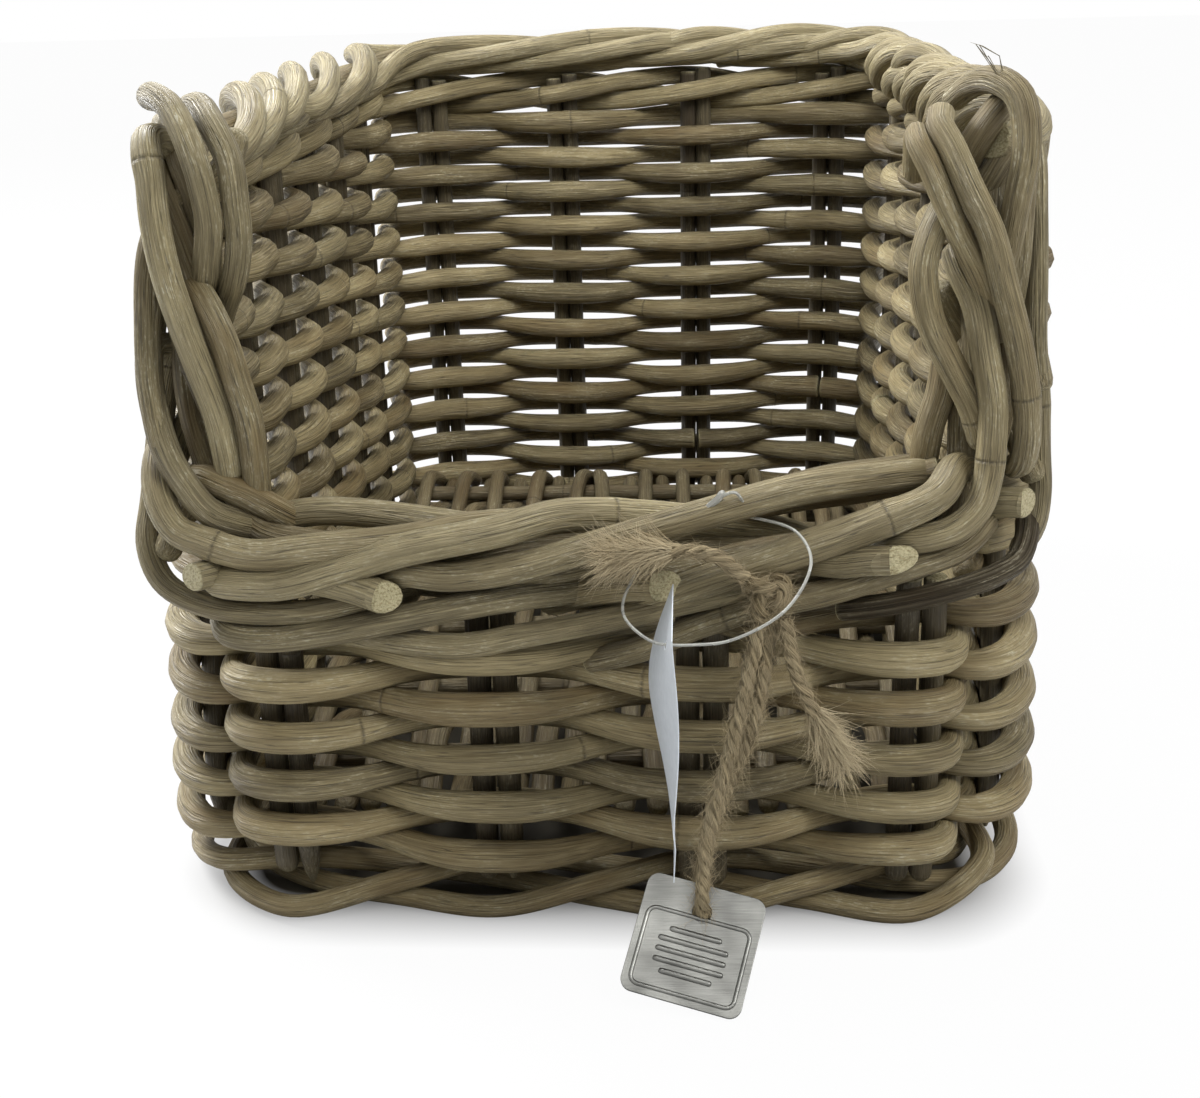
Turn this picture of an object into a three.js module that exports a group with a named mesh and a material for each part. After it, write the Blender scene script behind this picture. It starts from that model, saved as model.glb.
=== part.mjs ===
// Rattan storage box with an open top and a low front, woven from round rods over paired stakes.
// Millimetres. +Z is up, the low front faces -Y, and the box stands on its stake ends at Z = 0.
import * as THREE from 'three';
import { mergeVertices } from 'three/addons/utils/BufferGeometryUtils.js';

// Wall line: the rounded rectangle on which all the stake pairs stand.
const wallHalfWidth = 141;
const wallHalfLength = 204;
const wallCornerRadius = 40;

// Stakes.
const stakeRadius = 4.2;
const stakeSpread = 3.9;
const frontStakeX = 36.5;
const cornerStakeArc = 9.1;
const sidePairs = 6;
const sideStakeStart = wallHalfLength - 49;
const sideStakeStep = (2 * sideStakeStart) / (sidePairs - 1);

// Woven rows.
const weaverRadius = 4.4;
const weaverOffset = 10.6;
const cornerWeaverOffset = 11.5;
const firstRowHeight = 6.5;
const rowPitch = 9.4;
const wrapShoulder = 12;
const wrapOffset = 8.4;
const wrapReach = 15.3;

// Border: four long rods twisted into a rope that runs round the whole stepped rim.
const borderRods = 4;
const borderRodRadius = 6.1;
const borderRopeRadius = 9.8;
const borderTurns = 8;
const borderStart = THREE.MathUtils.degToRad(-4);
const lowRimHeight = 134;
const lowRimRise = 9;
const highRimHeight = 268;
const rimHalfWidth = wallHalfWidth - 4;
const frontEdgeX = wallHalfWidth - 11;
const frontEdgeY = 14 - wallHalfLength;
const lowCornerReach = 48;
const highCornerDrop = 32;
const highCornerRun = 38;
const backCornerReach = 52;
const borderReach = borderRopeRadius + borderRodRadius;

// Stakes end just under the border, and the pairs at the two front edges a little lower.
const lowStakeTop = lowRimHeight - borderReach - 0.6;
const tallStakeTop = highRimHeight - borderReach - 0.5;
const endStakeTop = tallStakeTop - 5.1;

// As many rows as fit under the low rim, and as many pairs of rows between it and the high rim.
const lowRimGap = 24;
const highRimGap = 26;
const ringRows = 1 + Math.floor((lowRimHeight - lowRimGap - firstRowHeight) / rowPitch);
const highRows = (highRimHeight - highRimGap - rowHeight(ringRows - 1)) / rowPitch;
const doubledWeavers = Math.floor(highRows / 2);

// Base.
const baseStickRadius = 4.4;
const baseRodRadius = 4;
const baseRow = 3;
const baseHeight = rowHeight(baseRow);
const baseRodOffset = 9.1;
const baseRunCounts = [5, 6, 5];
const baseRuns = baseRunCounts.reduce((sum, count) => sum + count, 0);
const baseSideGap = 24.75;
const baseRunPitch = (2 * (wallHalfWidth - baseSideGap)) / (baseRuns - 1);
const baseTurnY = wallHalfLength - 36;
const baseTurnReach = 8.5;

// Metal tag, the jute cord that carries it, and the paper ticket on its clear loop.
const tagSize = 41;
const tagThickness = 1.2;
const tagCorner = 4;
const tagHoleRadius = 3.4;
const tagHoleFromEdge = 9.5;
const tagRoll = THREE.MathUtils.degToRad(-15);
const tagLean = THREE.MathUtils.degToRad(50);
const tagPivot = new THREE.Vector3(36, -236, 29.3);
const juteRadius = 2.3;
const bightRadius = 9.2;
const strandGap = 5.6;
const knotSize = new THREE.Vector3(8.4, 8.2, 9.4);
const knotX = 57;
const knotPress = 0.5;
const knotHeight = lowRimHeight - 2;
const ticketWidth = 44;
const ticketHeight = 95;
const ticketThickness = 0.6;
const ticketHoleRadius = 1.6;
const ticketSag = 0.7;
const ticketHoleFromTop = 12;
const ticketPivot = new THREE.Vector3(27, -248, 124.6);
const clearLoopRadius = 0.6;

const rattan = new THREE.MeshStandardMaterial({ color: 0x8d8168, roughness: 0.72, metalness: 0 });
const stakeRattan = new THREE.MeshStandardMaterial({ color: 0x5f5747, roughness: 0.78, metalness: 0 });
const borderRattan = new THREE.MeshStandardMaterial({ color: 0x9a8e76, roughness: 0.7, metalness: 0 });
const baseRattan = new THREE.MeshStandardMaterial({ color: 0x857658, roughness: 0.75, metalness: 0 });
const jute = new THREE.MeshStandardMaterial({ color: 0x9c8159, roughness: 0.95, metalness: 0 });
const aluminium = new THREE.MeshStandardMaterial({ color: 0xb4b6b8, roughness: 0.35, metalness: 1 });
const paper = new THREE.MeshStandardMaterial({ color: 0xeceef0, roughness: 0.6, metalness: 0 });
const clearPlastic = new THREE.MeshStandardMaterial({
  color: 0xe8ecee, roughness: 0.2, metalness: 0, transparent: true, opacity: 0.5,
});

const box = new THREE.Group();
box.name = 'rattan_storage_box';

function addMesh(name, geometry, material, parent = box) {
  const mesh = new THREE.Mesh(geometry, material);
  mesh.name = name;
  parent.add(mesh);
  return mesh;
}

// A round rod along a list of points, with flat cut ends, or joined into a ring when closed.
// radius is a number, or a function of the share of the length that lies behind.
function rodGeometry(points, radius, sides, closed = false) {
  const count = points.length;
  const radiusAt = typeof radius === 'function' ? radius : () => radius;
  const tangents = points.map((point, index) => {
    const before = closed ? points[(index + count - 1) % count] : points[Math.max(index - 1, 0)];
    const after = closed ? points[(index + 1) % count] : points[Math.min(index + 1, count - 1)];
    return after.clone().sub(before).normalize();
  });
  const normals = transportNormals(tangents, closed);
  const positions = [];
  const indices = [];
  for (let ring = 0; ring < count; ring += 1) {
    const side = new THREE.Vector3().crossVectors(tangents[ring], normals[ring]);
    const ringRadius = radiusAt(ring / (count - 1));
    for (let corner = 0; corner < sides; corner += 1) {
      const angle = (corner / sides) * Math.PI * 2;
      const vertex = points[ring].clone();
      vertex.addScaledVector(normals[ring], Math.cos(angle) * ringRadius);
      vertex.addScaledVector(side, Math.sin(angle) * ringRadius);
      positions.push(vertex.x, vertex.y, vertex.z);
    }
  }
  const spans = closed ? count : count - 1;
  for (let ring = 0; ring < spans; ring += 1) {
    const here = ring * sides;
    const next = ((ring + 1) % count) * sides;
    for (let corner = 0; corner < sides; corner += 1) {
      const turn = (corner + 1) % sides;
      indices.push(here + corner, here + turn, next + corner);
      indices.push(here + turn, next + turn, next + corner);
    }
  }
  if (!closed) {
    const last = (count - 1) * sides;
    for (let corner = 1; corner < sides - 1; corner += 1) {
      indices.push(0, corner + 1, corner);
      indices.push(last, last + corner, last + corner + 1);
    }
  }
  const geometry = new THREE.BufferGeometry();
  geometry.setAttribute('position', new THREE.Float32BufferAttribute(positions, 3));
  geometry.setIndex(indices);
  geometry.computeVertexNormals();
  return geometry;
}

// Section directions carried along a path without turning, and closed without a step on a ring.
function transportNormals(tangents, closed) {
  const start = Math.abs(tangents[0].z) > 0.8 ? new THREE.Vector3(1, 0, 0) : new THREE.Vector3(0, 0, 1);
  const first = start.addScaledVector(tangents[0], -start.dot(tangents[0])).normalize();
  const normals = [first];
  const turn = new THREE.Quaternion();
  for (let index = 1; index < tangents.length; index += 1) {
    turn.setFromUnitVectors(tangents[index - 1], tangents[index]);
    normals.push(normals[index - 1].clone().applyQuaternion(turn));
  }
  if (!closed) return normals;
  const last = tangents.length - 1;
  turn.setFromUnitVectors(tangents[last], tangents[0]);
  const arrived = normals[last].clone().applyQuaternion(turn);
  const side = new THREE.Vector3().crossVectors(tangents[0], first);
  const drift = Math.atan2(arrived.dot(side), arrived.dot(first));
  return normals.map((normal, index) => {
    const share = (-drift * index) / tangents.length;
    return normal.clone().applyAxisAngle(tangents[index], share);
  });
}

// The wall line, measured from the middle of the front towards +X and on round the box.
const frontRun = wallHalfWidth - wallCornerRadius;
const sideRun = 2 * (wallHalfLength - wallCornerRadius);
const cornerRun = (Math.PI / 2) * wallCornerRadius;
const halfLine = 2 * frontRun + sideRun + 2 * cornerRun;

// A point beside the wall line, with offset counted outwards.
function wallPoint(distance, offset, height) {
  const line = 2 * halfLine;
  const along = ((distance % line) + line) % line;
  const mirrored = along > halfLine;
  let run = mirrored ? line - along : along;
  let x;
  let y;
  let angle;
  const reach = wallCornerRadius + offset;
  if (run < frontRun) {
    x = run;
    y = -wallHalfLength - offset;
  } else if (run < frontRun + cornerRun) {
    angle = (run - frontRun) / wallCornerRadius;
    x = frontRun + Math.sin(angle) * reach;
    y = -(wallHalfLength - wallCornerRadius) - Math.cos(angle) * reach;
  } else if (run < frontRun + cornerRun + sideRun) {
    x = wallHalfWidth + offset;
    y = run - frontRun - cornerRun - sideRun / 2;
  } else if (run < frontRun + 2 * cornerRun + sideRun) {
    angle = (run - frontRun - cornerRun - sideRun) / wallCornerRadius;
    x = frontRun + Math.cos(angle) * reach;
    y = wallHalfLength - wallCornerRadius + Math.sin(angle) * reach;
  } else {
    run -= frontRun + 2 * cornerRun + sideRun;
    x = frontRun - run;
    y = wallHalfLength + offset;
  }
  return new THREE.Vector3(mirrored ? -x : x, y, height);
}

// Where the stake pairs stand on the right half of the wall line, front to back.
const rightStations = [frontStakeX, frontRun + cornerStakeArc];
for (let index = 0; index < sidePairs; index += 1) {
  const y = -sideStakeStart + index * sideStakeStep;
  rightStations.push(frontRun + cornerRun + sideRun / 2 + y);
}
rightStations.push(halfLine - frontRun - cornerStakeArc, halfLine - frontStakeX);
const leftStations = rightStations.map((distance) => 2 * halfLine - distance).reverse();
const stations = [...rightStations, ...leftStations];
const stationCount = stations.length;
const firstSideStation = 2;
const lastSideStation = stationCount - 3;
const stationsBeforeCorners = [1, 7, 11, 17];

// Each pair is two upright rods side by side, joined along the line where they press together.
function pairOutline() {
  const outline = new THREE.Shape();
  const steps = 8;
  const reach = Math.PI - Math.acos(stakeSpread / stakeRadius);
  for (const side of [1, -1]) {
    for (let step = side === 1 ? 0 : 1; step < steps + (side + 1) / 2; step += 1) {
      const angle = -reach + (2 * reach * step) / steps;
      const x = side * (stakeSpread + Math.cos(angle) * stakeRadius);
      const y = side * Math.sin(angle) * stakeRadius;
      if (outline.curves.length === 0 && step === 0) outline.moveTo(x, y);
      else outline.lineTo(x, y);
    }
  }
  outline.closePath();
  return outline;
}

const wallNames = ['front', 'front', 'right', 'right', 'right', 'right', 'right', 'right', 'back', 'back',
  'back', 'back', 'left', 'left', 'left', 'left', 'left', 'left', 'front', 'front'];
const wallCounts = {};
stations.forEach((distance, index) => {
  const wall = wallNames[index];
  wallCounts[wall] = (wallCounts[wall] ?? 0) + 1;
  const endPair = index === firstSideStation || index === lastSideStation;
  const highTop = endPair ? endStakeTop : tallStakeTop;
  const top = wall === 'front' ? lowStakeTop : highTop;
  const geometry = new THREE.ExtrudeGeometry(pairOutline(), { depth: top, bevelEnabled: false });
  const pair = addMesh(`stakes_${wall}_${wallCounts[wall]}`, geometry, stakeRattan);
  pair.position.copy(wallPoint(distance, 0, 0));
  const ahead = wallPoint(distance + 1, 0, 0).sub(wallPoint(distance - 1, 0, 0));
  pair.rotation.z = Math.atan2(ahead.y, ahead.x);
});

function rowHeight(row) {
  return firstRowHeight + row * rowPitch;
}

// A row passes outside one pair and inside the next, and the row above does the opposite.
function rowSide(station, row) {
  return (station + row) % 2 === 1 ? 1 : -1;
}

// How far a row's middle stands off the wall line at a pair: a little more where it rounds a corner.
function rowOffset(station, row) {
  const besideCorner = stationsBeforeCorners.some((start) => station === start || station === start + 1);
  const rowEnds = row >= ringRows && (station === firstSideStation || station === lastSideStation);
  return rowSide(station, row) * (besideCorner && !rowEnds ? cornerWeaverOffset : weaverOffset);
}

// Points of one row from one station to another, with two more in each rounded corner.
function rowPoints(row, from, to) {
  const points = [];
  for (let station = from; station <= to; station += 1) {
    const offset = rowOffset(station, row);
    points.push(wallPoint(stations[station], offset, rowHeight(row)));
    if (station < to && stationsBeforeCorners.includes(station)) {
      const gap = stations[station + 1] - stations[station];
      for (const share of [0.34, 0.66]) {
        const distance = stations[station] + gap * share;
        points.push(wallPoint(distance, offset * (1 - 2 * share), rowHeight(row)));
      }
    }
  }
  return points;
}

for (let row = 0; row < ringRows; row += 1) {
  const points = rowPoints(row, 0, stationCount - 1);
  addMesh(`ring_weaver_${row + 1}`, rodGeometry(points, weaverRadius, 6, true), rattan);
}

// Above the low front each weaver goes round three walls, wraps the end pair and comes back one row higher.
function turnPoints(row, station, direction) {
  const side = rowSide(station, row);
  const wrap = [[wrapShoulder, wrapOffset, 0.16], [wrapReach, 0, 0.5], [wrapShoulder, -wrapOffset, 0.84]];
  return wrap.map(([along, offset, rise]) => {
    const distance = stations[station] + direction * along;
    return wallPoint(distance, side * offset, rowHeight(row) + rise * rowPitch);
  });
}

function endPoint(row, station, direction) {
  const side = rowSide(station, row);
  return wallPoint(stations[station] + direction * wrapShoulder, side * (wrapOffset + 0.2), rowHeight(row));
}

for (let weaver = 0; weaver < doubledWeavers; weaver += 1) {
  const row = ringRows + 2 * weaver;
  const turnsLeft = weaver % 2 === 0;
  const startStation = turnsLeft ? firstSideStation : lastSideStation;
  const turnStation = turnsLeft ? lastSideStation : firstSideStation;
  const direction = turnsLeft ? -1 : 1;
  const lower = rowPoints(row, firstSideStation, lastSideStation);
  const upper = rowPoints(row + 1, firstSideStation, lastSideStation);
  const points = [
    endPoint(row, startStation, direction),
    ...(turnsLeft ? lower : lower.reverse()),
    ...turnPoints(row, turnStation, -direction),
    ...(turnsLeft ? upper.reverse() : upper),
    endPoint(row + 1, startStation, direction),
  ];
  addMesh(`side_weaver_${weaver + 1}`, rodGeometry(points, weaverRadius, 6), rattan);
}

// Middle of the border: along the low front, up the two front edges and round the high rim.
// Each half goes from its side of the low front to the middle of the back. The right one climbs more at first.
function halfRim(rise) {
  return [
    [frontEdgeX - 85, -wallHalfLength, lowRimHeight],
    [frontEdgeX - 42, -wallHalfLength + 1, lowRimHeight + 3 + rise],
    [frontEdgeX - 13, -wallHalfLength + 6, lowRimHeight + 20 + rise * 0.6],
    [frontEdgeX - 1, frontEdgeY - 2, lowRimHeight + lowCornerReach],
    [frontEdgeX, frontEdgeY, (lowRimHeight + lowCornerReach + highRimHeight - highCornerDrop) / 2],
    [frontEdgeX + 1, frontEdgeY, highRimHeight - highCornerDrop],
    [frontEdgeX + 3, frontEdgeY + 2, highRimHeight - 12],
    [rimHalfWidth - 1, frontEdgeY + 15, highRimHeight - 1],
    [rimHalfWidth, frontEdgeY + highCornerRun, highRimHeight],
    [rimHalfWidth, -50, highRimHeight],
    [rimHalfWidth, 50, highRimHeight],
    [rimHalfWidth, wallHalfLength - backCornerReach, highRimHeight],
    [rimHalfWidth - 11, wallHalfLength - 11, highRimHeight],
    [rimHalfWidth - backCornerReach, wallHalfLength, highRimHeight],
  ].map(([x, y, z]) => new THREE.Vector3(x, y, z));
}

const lowMiddle = new THREE.Vector3(0, -wallHalfLength, lowRimHeight);
const backMiddle = new THREE.Vector3(0, wallHalfLength, highRimHeight);
const leftRim = halfRim(0).reverse().map((point) => new THREE.Vector3(-point.x, point.y, point.z));
const rimPoints = [lowMiddle, ...halfRim(lowRimRise), backMiddle, ...leftRim];
const rimCurve = new THREE.CatmullRomCurve3(rimPoints, true, 'centripetal');
rimCurve.arcLengthDivisions = 2000;

const rimSteps = 96;
const rimMiddle = [];
const rimTangents = [];
for (let step = 0; step < rimSteps; step += 1) {
  rimMiddle.push(rimCurve.getPointAt(step / rimSteps));
  rimTangents.push(rimCurve.getTangentAt(step / rimSteps));
}
const rimNormals = transportNormals(rimTangents, true);

const borderPoints = [];
for (let rod = 0; rod < borderRods; rod += 1) {
  const points = rimMiddle.map((middle, step) => {
    const angle = borderStart + (rod / borderRods - (borderTurns * step) / rimSteps) * Math.PI * 2;
    const side = new THREE.Vector3().crossVectors(rimTangents[step], rimNormals[step]);
    return middle.clone()
      .addScaledVector(rimNormals[step], Math.cos(angle) * borderRopeRadius)
      .addScaledVector(side, Math.sin(angle) * borderRopeRadius);
  });
  addMesh(`border_rod_${rod + 1}`, rodGeometry(points, borderRodRadius, 6, true), borderRattan);
  borderPoints.push(...points);
}

// The middle of the border rod that stands out most, along a direction, near one x of the low front.
function outermostRod(x, direction) {
  const near = borderPoints.filter((point) => Math.abs(point.x - x) < 9 && point.y < 0);
  return near.reduce((best, point) => (point.dot(direction) > best.dot(direction) ? point : best));
}

const forwards = new THREE.Vector3(0, -1, 0);
const upwards = new THREE.Vector3(0, 0, 1);

// Base: sticks from side to side, and rods that run front to back over and under them.
const stickYs = [];
for (let index = 0; index < sidePairs; index += 1) {
  const y = -sideStakeStart + index * sideStakeStep;
  stickYs.push(y);
  const ends = [firstSideStation + index, lastSideStation - index].map((station) => {
    // A stick ends at the stakes, or at the weaver where its row runs inside them.
    const offset = rowOffset(station, baseRow);
    const inner = offset < 0 ? weaverRadius - offset : stakeRadius;
    const reach = wallHalfWidth - inner - 0.3;
    return new THREE.Vector3(station < stationCount / 2 ? reach : -reach, y, baseHeight);
  });
  addMesh(`base_stick_${index + 1}`, rodGeometry(ends, baseStickRadius, 8), baseRattan);
}

let baseRun = 0;
baseRunCounts.forEach((count, index) => {
  const points = [];
  for (let turn = 0; turn < count; turn += 1) {
    const x = (baseRun - (baseRuns - 1) / 2) * baseRunPitch;
    const forward = turn % 2 === 0;
    const run = stickYs.map((y, stick) => {
      const over = (stick + baseRun) % 2 === 0 ? 1 : -1;
      return new THREE.Vector3(x, y, baseHeight + over * baseRodOffset);
    });
    points.push(...(forward ? run : run.reverse()));
    const end = forward ? 1 : -1;
    if (turn < count - 1) {
      const middle = x + baseRunPitch / 2;
      points.push(new THREE.Vector3(x, end * baseTurnY, baseHeight));
      points.push(new THREE.Vector3(middle, end * (baseTurnY + baseTurnReach), baseHeight));
      points.push(new THREE.Vector3(x + baseRunPitch, end * baseTurnY, baseHeight));
    } else {
      points.push(new THREE.Vector3(x, end * baseTurnY, baseHeight));
    }
    if (turn === 0) points.unshift(new THREE.Vector3(x, -baseTurnY, baseHeight));
    baseRun += 1;
  }
  addMesh(`base_weaver_${index + 1}`, rodGeometry(points, baseRodRadius, 6), baseRattan);
});

// Metal tag: a square plate with rounded corners, turned a little in its own plane and leaning on its corner.
function tagOutline() {
  const half = tagSize / 2;
  const top = tagHoleFromEdge;
  const bottom = top - tagSize;
  const shape = new THREE.Shape();
  shape.moveTo(-half + tagCorner, bottom);
  shape.lineTo(half - tagCorner, bottom);
  shape.absarc(half - tagCorner, bottom + tagCorner, tagCorner, -Math.PI / 2, 0);
  shape.lineTo(half, top - tagCorner);
  shape.absarc(half - tagCorner, top - tagCorner, tagCorner, 0, Math.PI / 2);
  shape.lineTo(-half + tagCorner, top);
  shape.absarc(-half + tagCorner, top - tagCorner, tagCorner, Math.PI / 2, Math.PI);
  shape.lineTo(-half, bottom + tagCorner);
  shape.absarc(-half + tagCorner, bottom + tagCorner, tagCorner, Math.PI, Math.PI * 1.5);
  const hole = new THREE.Path();
  hole.absarc(0, 0, tagHoleRadius, 0, Math.PI * 2, true);
  shape.holes.push(hole);
  return shape;
}

const tagGeometry = new THREE.ExtrudeGeometry(tagOutline(), {
  depth: tagThickness, bevelEnabled: false, curveSegments: 4,
});
tagGeometry.translate(0, 0, -tagThickness / 2);
const tagFrame = new THREE.Group();
tagFrame.name = 'tag_frame';
tagFrame.position.copy(tagPivot);
tagFrame.rotation.x = Math.PI / 2 - tagLean;
box.add(tagFrame);
const tag = addMesh('metal_tag', tagGeometry, aluminium, tagFrame);
tag.position.y = -bightRadius;
tag.rotation.z = tagRoll;

// Jute cord: a knot in front of the border, two strands side by side down to the tag, and two frayed tails.
const knotSphere = new THREE.IcosahedronGeometry(1, 2);
knotSphere.scale(knotSize.x, knotSize.y, knotSize.z);
knotSphere.deleteAttribute('uv');
knotSphere.deleteAttribute('normal');
const knotGeometry = mergeVertices(knotSphere);
knotGeometry.computeVertexNormals();
const knot = addMesh('jute_knot', knotGeometry, jute);
const knotSeat = outermostRod(knotX, forwards).y - borderRodRadius - knotSize.y + knotPress;
const knotCentre = new THREE.Vector3(knotX, knotSeat, knotHeight);
knot.position.copy(knotCentre);

const strandX = knotCentre.x - 6.5;
const loopPath = [
  new THREE.Vector3(knotCentre.x - 2.4, knotCentre.y - 2.8, knotCentre.z - 9.8),
  new THREE.Vector3(strandX - strandGap / 2, tagPivot.y - 0.5, knotCentre.z - 40),
  new THREE.Vector3(tagPivot.x + 2, tagPivot.y - 6.8, tagPivot.z + 24),
];
for (let step = 0; step <= 12; step += 1) {
  const angle = (step / 12) * Math.PI;
  loopPath.push(new THREE.Vector3(
    tagPivot.x,
    tagPivot.y - Math.cos(angle) * bightRadius,
    tagPivot.z - Math.sin(angle) * bightRadius,
  ));
}
loopPath.push(
  new THREE.Vector3(tagPivot.x + 5, tagPivot.y + 6.8, tagPivot.z + 24),
  new THREE.Vector3(strandX + strandGap / 2, tagPivot.y + 2.5, knotCentre.z - 40),
  new THREE.Vector3(knotCentre.x + 2, knotCentre.y + 2, knotCentre.z - 9.8),
);
addMesh('jute_loop', rodGeometry(loopPath, juteRadius, 8), jute);

// A tail keeps its thickness, then opens into a brush.
function tailGeometry(points, brushRadius) {
  const curve = new THREE.CatmullRomCurve3(points.map(([x, y, z]) => new THREE.Vector3(x, y, z)));
  const radius = (share) => juteRadius + (brushRadius - juteRadius) * Math.max(0, (share - 0.35) / 0.65);
  return rodGeometry(curve.getSpacedPoints(9), radius, 8);
}

addMesh('jute_tail_left', tailGeometry([
  [knotCentre.x - 6.9, knotCentre.y - 2.2, knotCentre.z + 6.5],
  [40, -229.5, 147],
  [24, -227.5, 148],
  [5, -226.5, 145.5],
], 6), jute);
addMesh('jute_tail_right', tailGeometry([
  [knotCentre.x + 5.5, knotCentre.y - 2.9, knotCentre.z - 7.8],
  [67, -232.5, 106],
  [74, -231.5, 90],
  [82, -230, 74],
], 4.4), jute);

// Clear loop from the top of the low border, through the ticket, back to the face of the border.
const loopReach = borderRodRadius + clearLoopRadius + 0.1;
const loopStart = outermostRod(42, upwards).clone().addScaledVector(upwards, loopReach);
const loopEnd = outermostRod(12, forwards).clone().addScaledVector(forwards, loopReach);
const clearLoopCurve = new THREE.CatmullRomCurve3([
  loopStart,
  ...[
    [53, -214, 154], [66, -225, 153.2], [70, -236, 147], [62, -244.5, 135], [45, -247.6, 126],
    [33, -248, 124.6], [27, -248, 124.6], [21, -247.6, 125.4], [13, -241, 129], [11, -231, 131.5],
  ].map(([x, y, z]) => new THREE.Vector3(x, y, z)),
  loopEnd,
]);
addMesh('ticket_loop', rodGeometry(clearLoopCurve.getSpacedPoints(38), clearLoopRadius, 6), clearPlastic);

// Paper ticket hanging edge-on from the clear loop.
const ticketShape = new THREE.Shape();
ticketShape.moveTo(-ticketWidth / 2, ticketHoleFromTop - ticketHeight);
ticketShape.lineTo(ticketWidth / 2, ticketHoleFromTop - ticketHeight);
ticketShape.lineTo(ticketWidth / 2, ticketHoleFromTop);
ticketShape.lineTo(-ticketWidth / 2, ticketHoleFromTop);
ticketShape.closePath();
const ticketHole = new THREE.Path();
ticketHole.absarc(0, 0, ticketHoleRadius, 0, Math.PI * 2, true);
ticketShape.holes.push(ticketHole);
const ticketGeometry = new THREE.ExtrudeGeometry(ticketShape, {
  depth: ticketThickness, bevelEnabled: false, curveSegments: 6,
});
ticketGeometry.translate(0, 0, -ticketThickness / 2);
const ticket = addMesh('ticket', ticketGeometry, paper);
ticket.position.copy(ticketPivot);
ticket.position.z -= ticketSag;
const widthAlong = new THREE.Vector3(0, 1, 0);
const heightAlong = new THREE.Vector3(0, 0, 1);
const thicknessAlong = new THREE.Vector3(1, 0, 0);
const ticketTurn = new THREE.Matrix4().makeBasis(widthAlong, heightAlong, thicknessAlong);
ticket.quaternion.setFromRotationMatrix(ticketTurn);

export default box;
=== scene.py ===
# %% [markdown]
# A rattan storage box, seen from the front and above. The box is woven from round greyed rods over upright
# pairs of stakes, and one thick rolled border follows its stepped rim. A jute cord with a metal tag and a
# paper ticket hang on the low front. This file is read from top to bottom, one cell at a time. The packed
# model is loaded first and stays as it is: each new piece says which of its solids it stands for.

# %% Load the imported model
import math

import bpy
import numpy as np
from mathutils import Matrix, Vector, noise


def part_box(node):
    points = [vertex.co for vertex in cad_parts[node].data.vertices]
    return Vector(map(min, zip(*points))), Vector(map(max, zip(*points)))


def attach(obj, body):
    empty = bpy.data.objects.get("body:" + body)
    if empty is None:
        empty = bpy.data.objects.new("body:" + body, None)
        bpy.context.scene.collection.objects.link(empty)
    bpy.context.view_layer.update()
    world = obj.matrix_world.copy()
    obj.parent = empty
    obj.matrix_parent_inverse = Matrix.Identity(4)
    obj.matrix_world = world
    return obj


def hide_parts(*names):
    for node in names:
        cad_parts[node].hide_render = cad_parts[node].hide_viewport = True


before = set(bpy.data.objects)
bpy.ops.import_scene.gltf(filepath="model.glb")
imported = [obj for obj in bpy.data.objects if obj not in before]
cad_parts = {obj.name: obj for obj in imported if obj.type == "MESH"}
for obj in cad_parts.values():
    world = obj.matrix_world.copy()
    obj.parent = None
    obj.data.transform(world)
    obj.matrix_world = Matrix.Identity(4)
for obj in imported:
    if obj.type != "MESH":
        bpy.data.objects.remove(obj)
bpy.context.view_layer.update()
MM = 0.001
print("solids in the frame:", len(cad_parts))

# %% [markdown]
# The camera stands in front of the box, a little above its rim. Its place and angles were fitted to the
# stake pairs, rims and rows of the photograph. Turning it by yaw, pitch and roll, one after another, keeps
# each angle readable, and the lens follows from the focal length in pixels of the 1200 pixel wide frame.

# %% Camera


def new_object(name, data):
    """A new object that shows data, linked to the scene."""
    made = bpy.data.objects.new(name, data)
    bpy.context.scene.collection.objects.link(made)
    return made


photo_width = 1200
focal_pixels = 1564
camera_place = Vector((32.2, -689.5, 328.2)) * MM
camera_yaw = math.radians(-3.5)
camera_pitch = math.radians(21.2)
camera_roll = math.radians(-1.5)

camera_data = bpy.data.cameras.new("photo_camera")
camera_data.sensor_fit = "HORIZONTAL"
camera_data.sensor_width = 36
camera_data.lens = camera_data.sensor_width * focal_pixels / photo_width
camera = new_object("photo_camera", camera_data)
turn = Matrix.Rotation(-camera_yaw, 4, "Z")
turn = turn @ Matrix.Rotation(math.pi / 2 - camera_pitch, 4, "X")
turn = turn @ Matrix.Rotation(camera_roll, 4, "Z")
camera.matrix_world = Matrix.Translation(camera_place) @ turn
bpy.context.scene.camera = camera
bpy.context.scene.view_settings.view_transform = "Standard"
print("lens", round(camera_data.lens, 2), "mm")

# %% [markdown]
# Everything on this box is a bent round rod: stakes, weavers, border, base and even the cord. A curve object
# with a bevel would be quick, but it can't swell at a knot of the cane, end in a sloping cut or tell its
# material how far along the rod a point lies. So rods are built ring by ring. First comes the middle line:
# a smooth curve through a few points, cut into even steps.

# %% Smooth lines through points


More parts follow.
